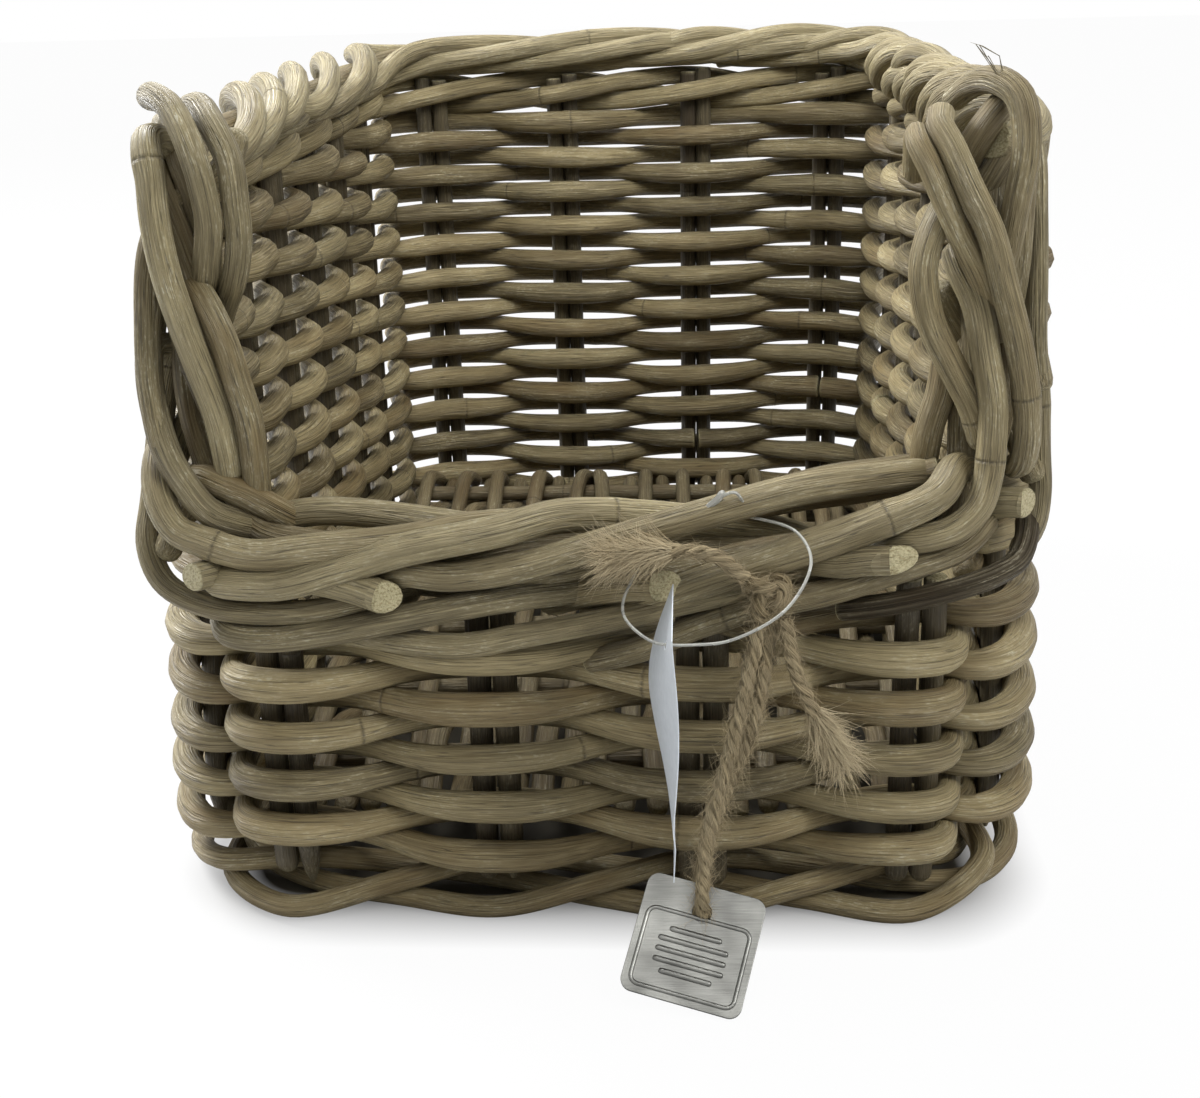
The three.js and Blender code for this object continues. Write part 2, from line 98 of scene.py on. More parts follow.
def smooth_line(points, step, closed=False):
    """A centripetal curve through points, as an array of places about step apart."""
    through = np.array([tuple(point) for point in points], float)
    if closed:
        padded = np.vstack([through[-1:], through, through[:2]])
    else:
        before = 2 * through[0] - through[1]
        after = 2 * through[-1] - through[-2]
        padded = np.vstack([before, through, after])
    pieces = []
    for index in range(1, len(padded) - 2):
        p0, p1, p2, p3 = padded[index - 1:index + 3]
        t1 = max(np.linalg.norm(p1 - p0), 1e-9) ** 0.5
        t2 = t1 + max(np.linalg.norm(p2 - p1), 1e-9) ** 0.5
        t3 = t2 + max(np.linalg.norm(p3 - p2), 1e-9) ** 0.5
        t = np.linspace(t1, t2, 12, endpoint=False)[:, None]
        a1 = (t1 - t) / t1 * p0 + t / t1 * p1
        a2 = (t2 - t) / (t2 - t1) * p1 + (t - t1) / (t2 - t1) * p2
        a3 = (t3 - t) / (t3 - t2) * p2 + (t - t2) / (t3 - t2) * p3
        b1 = (t2 - t) / t2 * a1 + t / t2 * a2
        b2 = (t3 - t) / (t3 - t1) * a2 + (t - t1) / (t3 - t1) * a3
        pieces.append((t2 - t) / (t2 - t1) * b1 + (t - t1) / (t2 - t1) * b2)
    dense = np.vstack(pieces + [padded[-2][None, :]])
    return even_line(dense, step, closed)


def travel(line):
    """How far along a line each of its places lies."""
    spans = np.linalg.norm(np.diff(line, axis=0), axis=1)
    return np.concatenate([[0], np.cumsum(spans)])


def even_line(dense, step, closed=False):
    """The same line with its places an even step apart."""
    travelled = travel(dense)
    count = max(int(round(travelled[-1] / step)), 3)
    wanted = np.linspace(0, travelled[-1], count + 1)
    if closed:
        wanted = wanted[:-1]
    return np.stack([np.interp(wanted, travelled, dense[:, axis]) for axis in range(3)], axis=1)


def line_length(line):
    """How long a line is, from its first place to its last."""
    return float(np.linalg.norm(np.diff(line, axis=0), axis=1).sum())


test_line = smooth_line([(0, 0, 0), (0.05, 0, 0), (0.1, 0.02, 0)], 4 * MM)
print("test line:", len(test_line), "places")

# %% [markdown]
# A rod needs a direction for each of its rings that doesn't spin as the line bends. Carrying one side
# direction along the line, and flattening it against each new tangent, does that. On a closed line the
# small turn that is left over at the end is shared out over all the rings.

# %% Ring directions along a line


def ring_directions(line, closed=False):
    """Tangent, side and top of each ring of a rod along line."""
    if closed:
        tangents = np.roll(line, -1, axis=0) - np.roll(line, 1, axis=0)
    else:
        tangents = np.gradient(line, axis=0)
    tangents /= np.linalg.norm(tangents, axis=1)[:, None]
    start = np.array([1.0, 0, 0]) if abs(tangents[0][2]) > 0.8 else np.array([0, 0, 1.0])
    side = start - tangents[0] * start.dot(tangents[0])
    side /= np.linalg.norm(side)
    sides = [side]
    for tangent in tangents[1:]:
        side = side - tangent * side.dot(tangent)
        side /= np.linalg.norm(side)
        sides.append(side)
    sides = np.array(sides)
    tops = np.cross(tangents, sides)
    if closed:
        last = sides[-1] - tangents[0] * sides[-1].dot(tangents[0])
        drift = math.atan2(last.dot(tops[0]), last.dot(sides[0]))
        shares = -drift * np.arange(len(line)) / len(line)
        turned = sides * np.cos(shares)[:, None] + tops * np.sin(shares)[:, None]
        tops = np.cross(tangents, turned)
        sides = turned
    return tangents, sides, tops


def around_ring(angles, side_way, top_way):
    """Directions from the middle of each ring to each of its corners."""
    across = np.cos(angles)[None, :, None] * side_way[:, None, :]
    return across + np.sin(angles)[None, :, None] * top_way[:, None, :]


def winding(angles, side_way, top_way):
    """One direction across the line for each ring, at the angle given for that ring."""
    return np.cos(angles)[:, None] * side_way + np.sin(angles)[:, None] * top_way


print("rings of the test line:", len(ring_directions(test_line)[0]))

# %% [markdown]
# Real cane isn't a perfect tube. It swells a little at its old leaf nodes every hand's width, it is slightly
# oval, and its ends are cut square, rounded or tapered. A bundle collects many rods in one mesh. Each point
# also stores what the material needs: its place on the rod, the rod's own tint and warmth, and how near it
# is to a node or a cut. Those are mesh attributes, so they follow the rod round every bend.

# %% Bundles of rods
cane = np.random.default_rng(2691)
stored_values = {"tint": "rod_tint", "warmth": "rod_warmth", "cut": "cut_end", "node": "node_ring"}


def new_bundle():
    """An empty bundle: lists of vertices, faces and the values stored at each vertex."""
    bundle = {key: [] for key in ("verts", "faces", "space", *stored_values)}
    bundle["count"] = 0
    return bundle


def add_rings(bundle, rings, closed):
    """Faces between rings of equal size, all facing out."""
    count, sides = rings.shape[:2]
    first = bundle["count"]
    for ring in range(count if closed else count - 1):
        here = first + ring * sides
        there = first + ((ring + 1) % count) * sides
        for corner in range(sides):
            after = (corner + 1) % sides
            bundle["faces"].append((here + corner, here + after, there + after, there + corner))
    if not closed:
        last = first + (count - 1) * sides
        bundle["faces"].append(tuple(first + corner for corner in reversed(range(sides))))
        bundle["faces"].append(tuple(last + corner for corner in range(sides)))
    bundle["verts"].extend(rings.reshape(-1, 3))
    bundle["count"] += count * sides


print("a bundle stores:", ", ".join(new_bundle()))

# %% [markdown]
# A rod's rings stand closer together at its ends and at its nodes, because the shape changes there within a
# millimetre or two. Even, fine steps along the whole rod would make the meshes many times larger.

# %% Where the rings of a rod stand
ring_margin = 1.2 * MM
node_room = 4 * MM
node_half = 0.9 * MM
node_bulge = 0.045
node_bulge_reach = 3.5 * MM


def end_profile(kind, radius):
    """Rings at a rod's end: distance from the tip, share of the radius, and how much of the cut shows."""
    if kind == "cut":
        return [(0, 0.5, 1), (0.03 * MM, 0.9, 1), (0.7 * MM, 1, 0.15)]
    if kind == "rounded":
        return [(0, 0.3, 0.3), (0.12 * radius, 0.6, 0.2), (0.4 * radius, 0.86, 0.1), (0.9 * radius, 1, 0)]
    return [(0, 0.2, 0.2), (4 * MM, 0.55, 0.1), (10 * MM, 0.85, 0), (17 * MM, 1, 0)]


def ring_places(total, step, radius, ends, nodes):
    """Where the rings of a rod stand, each with its share of the radius and how much of a cut shows."""
    head = end_profile(ends[0], radius)
    tail = end_profile(ends[1], radius)[::-1]
    first = head[-1][0] + ring_margin
    last = total - tail[0][0] - ring_margin
    count = max(int(round((last - first) / step)), 2)
    inner = list(np.linspace(first, last, count))
    for node in nodes:
        if first + node_room < node < last - node_room:
            inner = [place for place in inner if abs(place - node) > 2 * node_half]
            inner += [node - node_half, node, node + node_half]
    inner.sort()
    places = np.array([row[0] for row in head] + inner + [total - row[0] for row in tail])
    shrink = np.array([row[1] for row in head] + [1] * len(inner) + [row[1] for row in tail])
    cut = np.array([row[2] for row in head] + [0] * len(inner) + [row[2] for row in tail])
    return places, shrink, cut


def node_spots(total, with_nodes):
    """Where the old leaf nodes of one rod lie: a hand's width or two apart."""
    spots = []
    place = cane.uniform(0.03, 0.26)
    while with_nodes and place < total:
        spots.append(place)
        place += cane.uniform(0.16, 0.34)
    return spots


def swelling(travelled, total, closed, wander, nodes):
    """How much a rod swells along its length."""
    seed = cane.uniform(0, 50)
    if closed:
        turn_of = 2 * np.pi * travelled / total
        return wander * (np.sin(turn_of * 5 + seed) + np.sin(turn_of * 9 + 2 * seed)) * 0.5
    swell = np.array([noise.noise((seed, place * 16, 0)) for place in travelled]) * wander * 1.6
    for node in nodes:
        swell = swell + node_bulge * np.exp(-((travelled - node) / node_bulge_reach) ** 2)
    return swell


print("rings of a short cut rod:", len(ring_places(0.03, 3 * MM, 4 * MM, ("cut", "cut"), [])[0]))

# %% [markdown]
# Now one rod can be made. Its radius follows the swelling and its section is a little oval. Where a cut
# should be seen, the last rings are turned to face the slant. All chance comes from one seeded source, so
# the box looks the same each time that the file is run.

# %% One rod of cane


def slanted(rings, tangents, cut, slant):
    """Rings whose cut faces are turned towards the direction slant."""
    middle = rings.mean(axis=1, keepdims=True)
    reach = ((rings - middle) * np.array(slant, float)).sum(axis=2)
    facing = np.sign((tangents * np.array(slant, float)).sum(axis=1))
    return rings - (reach * (cut > 0.1)[:, None] * facing[:, None])[..., None] * tangents[:, None, :]


def add_rod(bundle, line, radius, sides=12, closed=False, ends=("cut", "cut"), tint=None, warmth=0.0,
            oval=0.04, with_nodes=True, wander=0.03, slant=None, thick=None):
    """One rod of cane along line. ends are cut, rounded or tapered. slant is where its cuts look to.

    thick is how many times the radius the rod has at each point of the line."""
    thick = np.ones(len(line)) if thick is None else thick
    shrink = np.ones(len(line))
    cut = np.zeros(len(line))
    travelled = travel(line)
    total = travelled[-1]
    nodes = node_spots(total, with_nodes and not closed)
    if not closed:
        places, shrink, cut = ring_places(total, total / (len(line) - 1), radius, ends, nodes)
        thick = np.interp(places, travelled, thick)
        line = np.stack([np.interp(places, travelled, line[:, axis]) for axis in range(3)], axis=1)
        travelled = places
    tangents, side_way, top_way = ring_directions(line, closed)
    swell = swelling(travelled, total + 1e-9, closed, wander, nodes)
    node_mark = np.zeros(len(line))
    for node in nodes:
        node_mark = np.maximum(node_mark, np.clip(1 - np.abs(travelled - node) / node_half, 0, 1))
    angles = np.linspace(0, 2 * np.pi, sides, endpoint=False)
    lean = cane.uniform(0, np.pi)
    section = 1 + oval * np.cos(2 * (angles - lean)) + 0.012 * np.cos(3 * angles + lean)
    reach = radius * (shrink * thick * (1 + swell))[:, None] * section[None, :]
    rings = line[:, None, :] + reach[..., None] * around_ring(angles, side_way, top_way)
    if slant is not None:
        rings = slanted(rings, tangents, cut, slant)
    add_rings(bundle, rings, closed)
    shift = cane.uniform(0, 9)
    space = np.zeros((len(line), sides, 3))
    space[..., 0] = radius * shrink[:, None] * np.cos(angles)[None, :] + shift * 0.1
    space[..., 1] = radius * shrink[:, None] * np.sin(angles)[None, :] + shift * 0.1
    space[..., 2] = travelled[:, None] + shift
    bundle["space"].append(space.reshape(-1, 3))
    size = len(line) * sides
    bundle["tint"].append(np.full(size, cane.uniform(0, 1) if tint is None else tint))
    bundle["warmth"].append(np.full(size, np.clip(warmth + cane.uniform(-0.15, 0.15), 0, 1)))
    bundle["cut"].append(np.repeat(cut, sides))
    bundle["node"].append(np.repeat(node_mark, sides))


print("rods can be added to a bundle")

# %% [markdown]
# A finished bundle becomes one object. The five stored values go into named attributes of the mesh. Shade
# smooth is on for the rods, and a sharp edge angle keeps the rim of each cut end crisp.

# %% From a bundle to an object


def bundle_object(bundle, name, material, body, nodes=()):
    """One object from a bundle, riding on a body and standing for the named solids."""
    mesh = bpy.data.meshes.new(name)
    mesh.from_pydata([tuple(vert) for vert in bundle["verts"]], [], bundle["faces"])
    stored = mesh.attributes.new("rod_space", "FLOAT_VECTOR", "POINT")
    stored.data.foreach_set("vector", np.concatenate(bundle["space"]).astype(np.float32).ravel())
    for key, label in stored_values.items():
        stored = mesh.attributes.new(label, "FLOAT", "POINT")
        stored.data.foreach_set("value", np.concatenate(bundle[key]).astype(np.float32))
    mesh.shade_smooth()
    mesh.set_sharp_from_angle(angle=math.radians(50))
    mesh.materials.append(material)
    made = new_object(name, mesh)
    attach(made, body)
    if nodes:
        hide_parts(*nodes)
    return made


print("bundles can be turned into objects")

# %% [markdown]
# Greyed cane has fine fibres along its length, patches where the grey wash is thicker, a thin dark ring at
# each node and a pale pithy face where it was cut. Those effects are needed for weavers, stakes, border and
# base, each with its own tones. So they are built once as node groups, and every material sets its own
# values. A picture texture would need unwrapping and would repeat. The stored rod space doesn't.

# %% A short way to wire nodes


def add_node(tree, kind, **settings):
    """A new node with its settings given by name."""
    made = tree.nodes.new(kind)
    for name, value in settings.items():
        setattr(made, name, value)
    return made


def join(tree, source, target):
    """A link from an output socket to an input socket."""
    tree.links.new(source, target)


def feed(tree, value, target):
    """A link into an input socket, or a plain value written to it."""
    if isinstance(value, bpy.types.NodeSocket):
        join(tree, value, target)
    else:
        target.default_value = value


def mix_colours(tree, share, first, second):
    """A colour mix whose share, first and second are sockets or plain values."""
    mix = add_node(tree, "ShaderNodeMix", data_type="RGBA")
    for place, value in ((0, share), (6, first), (7, second)):
        feed(tree, value, mix.inputs[place])
    return mix.outputs[2]


def calculate(tree, operation, first, second=0.0, third=None):
    """A math node whose values are sockets or numbers."""
    sums = add_node(tree, "ShaderNodeMath", operation=operation)
    values = (first, second) if third is None else (first, second, third)
    for place, value in enumerate(values):
        feed(tree, value, sums.inputs[place])
    return sums.outputs[0]


def new_group(name, inputs, outputs):
    """A shader node group with named input and output sockets."""
    group = bpy.data.node_groups.new(name, "ShaderNodeTree")
    for label, kind, value in inputs:
        socket = group.interface.new_socket(name=label, in_out="INPUT", socket_type=kind)
        if value is not None:
            socket.default_value = value
    for label, kind in outputs:
        group.interface.new_socket(name=label, in_out="OUTPUT", socket_type=kind)
    return group, group.nodes.new("NodeGroupInput"), group.nodes.new("NodeGroupOutput")


print("node helpers ready")

# %% [markdown]
# The grain group stretches noise along the rod. Dividing the place on the rod by the width of one fibre, and
# by much more along the rod, turns round noise blobs into long streaks. A second, much larger noise gives
# the patches of thicker and thinner wash.

# %% Grain of the cane
cane_grain, grain_in, grain_out = new_group(
    "cane_grain",
    [("Space", "NodeSocketVector", None), ("Fibre width", "NodeSocketFloat", 0.0006),
     ("Stretch", "NodeSocketFloat", 45.0)],
    [("Fibres", "NodeSocketFloat"), ("Bands", "NodeSocketFloat"), ("Cracks", "NodeSocketFloat"),
     ("Patches", "NodeSocketFloat"), ("Grit", "NodeSocketFloat")])


def stretched_noise(tree, place, width, stretch, detail, offset=0.0):
    """Noise whose blobs are width across the rod and stretch times as long along it."""
    across = calculate(tree, "DIVIDE", 1.0, width)
    lengthwise = calculate(tree, "DIVIDE", across, stretch)
    scale = add_node(tree, "ShaderNodeCombineXYZ")
    join(tree, across, scale.inputs[0])
    join(tree, across, scale.inputs[1])
    join(tree, lengthwise, scale.inputs[2])
    scaled = add_node(tree, "ShaderNodeVectorMath", operation="MULTIPLY_ADD")
    join(tree, place, scaled.inputs[0])
    join(tree, scale.outputs[0], scaled.inputs[1])
    scaled.inputs[2].default_value = (offset, offset, offset)
    made = add_node(tree, "ShaderNodeTexNoise")
    made.inputs["Scale"].default_value = 1.0
    made.inputs["Detail"].default_value = detail
    made.inputs["Roughness"].default_value = 0.6
    join(tree, scaled.outputs[0], made.inputs["Vector"])
    return made.outputs[0]


def spread(tree, value, low, high, first=0.0, last=1.0):
    """A value stretched so that low becomes first and high becomes last."""
    made = add_node(tree, "ShaderNodeMapRange")
    made.inputs["From Min"].default_value = low
    made.inputs["From Max"].default_value = high
    made.inputs["To Min"].default_value = first
    made.inputs["To Max"].default_value = last
    join(tree, value, made.inputs["Value"])
    return made.outputs[0]


rod_place = grain_in.outputs["Space"]
fibre_width = grain_in.outputs["Fibre width"]
fine = stretched_noise(cane_grain, rod_place, fibre_width, grain_in.outputs["Stretch"], 2.0)
join(cane_grain, spread(cane_grain, fine, 0.36, 0.64), grain_out.inputs["Fibres"])
band_width = calculate(cane_grain, "MULTIPLY", fibre_width, 3.2)
bands = stretched_noise(cane_grain, rod_place, band_width, 16.0, 2.0, 3.7)
join(cane_grain, spread(cane_grain, bands, 0.34, 0.66), grain_out.inputs["Bands"])
crack_width = calculate(cane_grain, "MULTIPLY", fibre_width, 2.2)
veins = stretched_noise(cane_grain, rod_place, crack_width, 60.0, 1.0, 8.1)
from_middle = calculate(cane_grain, "ABSOLUTE", calculate(cane_grain, "SUBTRACT", veins, 0.56))
thin_lines = calculate(cane_grain, "SUBTRACT", 1.0, spread(cane_grain, from_middle, 0.006, 0.022))
join(cane_grain, thin_lines, grain_out.inputs["Cracks"])
blots = stretched_noise(cane_grain, rod_place, 0.009, 3.2, 3.0, 1.3)
join(cane_grain, spread(cane_grain, blots, 0.32, 0.68), grain_out.inputs["Patches"])
dust = stretched_noise(cane_grain, rod_place, 0.0008, 3.0, 2.0, 5.5)
join(cane_grain, dust, grain_out.inputs["Grit"])
print("group:", cane_grain.name)

# %% [markdown]
# The wash group turns those values into a colour. It starts from two tones of grey and moves them towards
# brown by the rod's own warmth. Cracks and node rings are nearly black. Where the wash stayed on, the fibres
# look dusty and almost white. The cuts show pale pith with dark pores.

# %% Grey wash over the cane
grey_wash, wash_in, wash_out = new_group(
    "grey_wash",
    [("Pale", "NodeSocketColor", (0.36, 0.31, 0.2, 1)), ("Dark", "NodeSocketColor", (0.1, 0.08, 0.045, 1)),
     ("Brown", "NodeSocketColor", (0.17, 0.115, 0.05, 1)), ("Dust", "NodeSocketColor", (0.54, 0.50, 0.37, 1)),
     ("Fibres", "NodeSocketFloat", 0.5), ("Bands", "NodeSocketFloat", 0.5),
     ("Cracks", "NodeSocketFloat", 0.0), ("Patches", "NodeSocketFloat", 0.5),
     ("Grit", "NodeSocketFloat", 0.5), ("Tint", "NodeSocketFloat", 0.5),
     ("Warmth", "NodeSocketFloat", 0.0), ("Node", "NodeSocketFloat", 0.0),
     ("Cut", "NodeSocketFloat", 0.0), ("Dusting", "NodeSocketFloat", 0.75)],
    [("Color", "NodeSocketColor"), ("Relief", "NodeSocketFloat")])
fibres = wash_in.outputs["Fibres"]
wash_bands = wash_in.outputs["Bands"]
patches = wash_in.outputs["Patches"]
cracks = wash_in.outputs["Cracks"]
grit = wash_in.outputs["Grit"]
node_mark_in = wash_in.outputs["Node"]
crack_dark = (0.035, 0.027, 0.015, 1)
node_dark = (0.04, 0.03, 0.016, 1)
pore_tone = (0.33, 0.275, 0.14, 1)
pith_tone = (0.56, 0.50, 0.30, 1)
tone = calculate(grey_wash, "MULTIPLY", fibres, 0.34)
tone = calculate(grey_wash, "MULTIPLY_ADD", wash_bands, 0.22, tone)
tone = calculate(grey_wash, "MULTIPLY_ADD", patches, 0.32, tone)
tone = calculate(grey_wash, "MULTIPLY_ADD", wash_in.outputs["Tint"], 0.56, tone)
tone = calculate(grey_wash, "SUBTRACT", tone, 0.23)
washed = mix_colours(grey_wash, tone, wash_in.outputs["Dark"], wash_in.outputs["Pale"])
patchy = calculate(grey_wash, "SUBTRACT", 1.2, patches)
browning = calculate(grey_wash, "MULTIPLY", wash_in.outputs["Warmth"], patchy)
browned = mix_colours(grey_wash, browning, washed, wash_in.outputs["Brown"])
dusty = calculate(grey_wash, "MULTIPLY", spread(grey_wash, grit, 0.5, 0.7), fibres)
dusty = calculate(grey_wash, "MULTIPLY", dusty, spread(grey_wash, patches, 0.35, 1.0))
dusty = calculate(grey_wash, "MULTIPLY", dusty, wash_in.outputs["Dusting"])
powdered = mix_colours(grey_wash, dusty, browned, wash_in.outputs["Dust"])
crack_share = calculate(grey_wash, "MULTIPLY", cracks, 0.62)
cracked = mix_colours(grey_wash, crack_share, powdered, crack_dark)
broken = spread(grey_wash, grit, 0.35, 0.55)
ragged = calculate(grey_wash, "MULTIPLY", node_mark_in, broken)
ragged = calculate(grey_wash, "MULTIPLY", ragged, 0.7)
ringed = mix_colours(grey_wash, ragged, cracked, node_dark)
cut_face = mix_colours(grey_wash, broken, pore_tone, pith_tone)
faced = mix_colours(grey_wash, wash_in.outputs["Cut"], ringed, cut_face)
join(grey_wash, faced, wash_out.inputs["Color"])
relief = calculate(grey_wash, "MULTIPLY_ADD", cracks, -0.8, fibres)
relief = calculate(grey_wash, "MULTIPLY_ADD", wash_bands, 0.8, relief)
relief = calculate(grey_wash, "MULTIPLY_ADD", node_mark_in, -1.2, relief)
join(grey_wash, relief, wash_out.inputs["Relief"])
print("group:", grey_wash.name)

# %% [markdown]
# Five materials share the two groups. The weavers are olive grey. The stakes between them are much darker,
# and that darkness is painted shade for the deep gaps between the rows where the stakes stand. The border has
# more of the pale dust, and the base is darker than the weavers. One short rod at the front still wears its
# bark, with wide dark streaks. Old cane is dull with a faint waxy gloss, so the roughness stays fairly high
# and changes with the fibres.

# %% Cane materials


def new_material(name):
    """A material with nodes, together with its node tree and its shader."""
    made = bpy.data.materials.new(name)
    made.use_nodes = True
    return made, made.node_tree, made.node_tree.nodes["Principled BSDF"]


def dent_surface(tree, height, strength, depth):
    """A bump made from a height, which feeds the normal of the shader."""
    dent = add_node(tree, "ShaderNodeBump")
    dent.inputs["Strength"].default_value = strength
    dent.inputs["Distance"].default_value = depth
    join(tree, height, dent.inputs["Height"])
    join(tree, dent.outputs[0], tree.nodes["Principled BSDF"].inputs["Normal"])


def cane_material(name, pale, dark, brown, fibre_width, bump, dusting):
    """A material of greyed cane from its tones in linear light."""
    made, tree, shader = new_material(name)
    space = add_node(tree, "ShaderNodeAttribute", attribute_name="rod_space")
    grain = add_node(tree, "ShaderNodeGroup", node_tree=cane_grain)
    grain.inputs["Fibre width"].default_value = fibre_width
    join(tree, space.outputs["Vector"], grain.inputs["Space"])
    wash = add_node(tree, "ShaderNodeGroup", node_tree=grey_wash)
    for label, value in (("Pale", pale), ("Dark", dark), ("Brown", brown)):
        wash.inputs[label].default_value = (*value, 1)
    wash.inputs["Dusting"].default_value = dusting
    for label in ("Fibres", "Bands", "Cracks", "Patches", "Grit"):
        join(tree, grain.outputs[label], wash.inputs[label])
    for attribute, label in (("rod_tint", "Tint"), ("rod_warmth", "Warmth"), ("node_ring", "Node"),
                             ("cut_end", "Cut")):
        stored = add_node(tree, "ShaderNodeAttribute", attribute_name=attribute)
        join(tree, stored.outputs["Fac"], wash.inputs[label])
    join(tree, wash.outputs["Color"], shader.inputs["Base Color"])
    rough = spread(tree, grain.outputs["Fibres"], 0.0, 1.0, 0.66, 0.42)
    join(tree, rough, shader.inputs["Roughness"])
    shader.inputs["Specular IOR Level"].default_value = 0.4
    dent_surface(tree, wash.outputs["Relief"], bump, 0.7 * MM)
    return made


weaver_cane = cane_material("weaver_cane", pale=(0.355, 0.292, 0.152), dark=(0.066, 0.051, 0.022),
                            brown=(0.185, 0.118, 0.041), fibre_width=0.42 * MM, bump=0.6, dusting=0.8)
# The stakes' tones are painted shade: about three times darker than the weavers', for the gaps between the
# rows.
stake_cane_painted_shade = cane_material("stake_cane_painted_shade", pale=(0.115, 0.093, 0.050), dark=(0.025, 0.019, 0.009),
                           brown=(0.050, 0.032, 0.014), fibre_width=0.42 * MM, bump=0.5, dusting=0.3)
border_cane = cane_material("border_cane", pale=(0.355, 0.298, 0.163), dark=(0.074, 0.058, 0.027),
                            brown=(0.19, 0.127, 0.047), fibre_width=0.45 * MM, bump=0.75, dusting=1.1)
base_cane = cane_material("base_cane", pale=(0.225, 0.184, 0.098), dark=(0.050, 0.038, 0.017),
                          brown=(0.12, 0.076, 0.029), fibre_width=0.42 * MM, bump=0.5, dusting=0.5)
bark_cane = cane_material("bark_cane", pale=(0.24, 0.20, 0.125), dark=(0.010, 0.008, 0.004),
                          brown=(0.035, 0.024, 0.012), fibre_width=1.1 * MM, bump=1.0, dusting=0.8)
bark_cane.node_tree.nodes["Principled BSDF"].inputs["Specular IOR Level"].default_value = 0.15
print("cane materials made")

# %% [markdown]
# Jute yarn is three plies of hairy fibre twisted together. A tube with a striped material looks like plastic
# at its edges, so each ply is its own rod winding round the cord's middle line. The routes follow the packed
# model, in millimetres. The fuzz is added later, as separate fine hairs.

# %% Jute
jute_dark = (0.105, 0.077, 0.037, 1)
jute_fair = (0.35, 0.275, 0.155, 1)
jute_bleached = (0.52, 0.44, 0.29, 1)
jute_yarn, jute_tree, jute_shader = new_material("jute_yarn")
jute_space = add_node(jute_tree, "ShaderNodeAttribute", attribute_name="rod_space")
jute_tint = add_node(jute_tree, "ShaderNodeAttribute", attribute_name="rod_tint")
jute_grain = add_node(jute_tree, "ShaderNodeGroup", node_tree=cane_grain)
jute_grain.inputs["Fibre width"].default_value = 0.35 * MM
jute_grain.inputs["Stretch"].default_value = 24.0
join(jute_tree, jute_space.outputs["Vector"], jute_grain.inputs["Space"])
jute_streaks = spread(jute_tree, jute_grain.outputs["Fibres"], 0.05, 0.95)
jute_colour = mix_colours(jute_tree, jute_streaks, jute_dark, jute_fair)
jute_pale = calculate(jute_tree, "MULTIPLY", jute_tint.outputs["Fac"], 0.5)
jute_colour = mix_colours(jute_tree, jute_pale, jute_colour, jute_bleached)
join(jute_tree, jute_colour, jute_shader.inputs["Base Color"])
jute_shader.inputs["Roughness"].default_value = 0.9
jute_shader.inputs["Specular IOR Level"].default_value = 0.2
dent_surface(jute_tree, jute_grain.outputs["Fibres"], 0.8, 0.6 * MM)
print("material:", jute_yarn.name)

# %% Routes of the jute cord
pivot_x = 36
pivot_y = -236
pivot_z = 29.3
tag_pivot = Vector((pivot_x, pivot_y, pivot_z)) * MM
knot_middle = Vector((57, -225.86, 132)) * MM
bight = 9.2
bight_steps = 12
loop_route = [(54.6, -228.66, 122.2), (47.7, -236.5, 92), (38, -242.8, 53.3)]
for turn_step in range(bight_steps + 1):
    around = turn_step / bight_steps * math.pi
    loop_route.append((pivot_x, pivot_y - math.cos(around) * bight, pivot_z - math.sin(around) * bight))
loop_route += [(41, -229.2, 53.3), (53.3, -233.5, 92), (59, -223.86, 122.2)]
left_tail_route = [(50.1, -228.06, 138.5), (40, -229.5, 147), (24, -227.5, 148), (5, -226.5, 145.5)]
right_tail_route = [(62.5, -228.76, 124.2), (67, -232.5, 106), (74, -231.5, 90), (82, -230, 74)]


def cord_line(route, step):
    """A cord's middle line from a route in millimetres."""
    return smooth_line(np.array(route, float) * MM, step * MM)


loop_line = cord_line(loop_route, 1.1)
left_tail_line = cord_line(left_tail_route, 1.1)
right_tail_line = cord_line(right_tail_route, 1.1)
print("jute loop:", round(line_length(loop_line), 4), "m, tails:", round(line_length(left_tail_line), 4),
      round(line_length(right_tail_line), 4), "m")

# %% Twisted plies
jute_radius = 2.5 * MM
lay_length = 13 * MM


def add_plies(bundle, line, radius, lay, flare=0.0):
    """Three plies wound round a line. With a flare they come loose towards the end."""
    travelled = travel(line)
    share = travelled / travelled[-1]
    side_way, top_way = ring_directions(line)[1:]
    loose = 1 + flare * np.clip((share - 0.45) / 0.55, 0, 1) ** 1.5
    for ply in range(3):
        angle = ply * 2 * math.pi / 3 - travelled / lay * 2 * math.pi / loose
        reach = 0.52 * radius * loose
        ply_line = line + winding(angle, side_way, top_way) * reach[:, None]
        add_rod(bundle, ply_line, 0.53 * radius, sides=8, tint=cane.uniform(0.1, 0.7), with_nodes=False,
                wander=0.12, oval=0.1)


loop_bundle = new_bundle()
add_plies(loop_bundle, loop_line, jute_radius, lay_length)
left_bundle = new_bundle()
add_plies(left_bundle, left_tail_line, jute_radius, lay_length, flare=0.5)
right_bundle = new_bundle()
add_plies(right_bundle, right_tail_line, jute_radius, lay_length, flare=0.5)
jute_loop_cord = bundle_object(loop_bundle, "jute_strands", jute_yarn, "box", ["jute_loop"])
jute_left_cord = bundle_object(left_bundle, "jute_end_left", jute_yarn, "box", ["jute_tail_left"])
jute_right_cord = bundle_object(right_bundle, "jute_end_right", jute_yarn, "box", ["jute_tail_right"])
print("jute cords: 3")

# %% [markdown]
# The knot is the same yarn pulled into a tight overhand knot. A trefoil curve is an overhand knot whose ends
# are joined, so the plies follow a small trefoil, flattened from front to back, that fills the place of the
# solid knot. The strands leave from its lower side and the tails from its upper left and lower right.

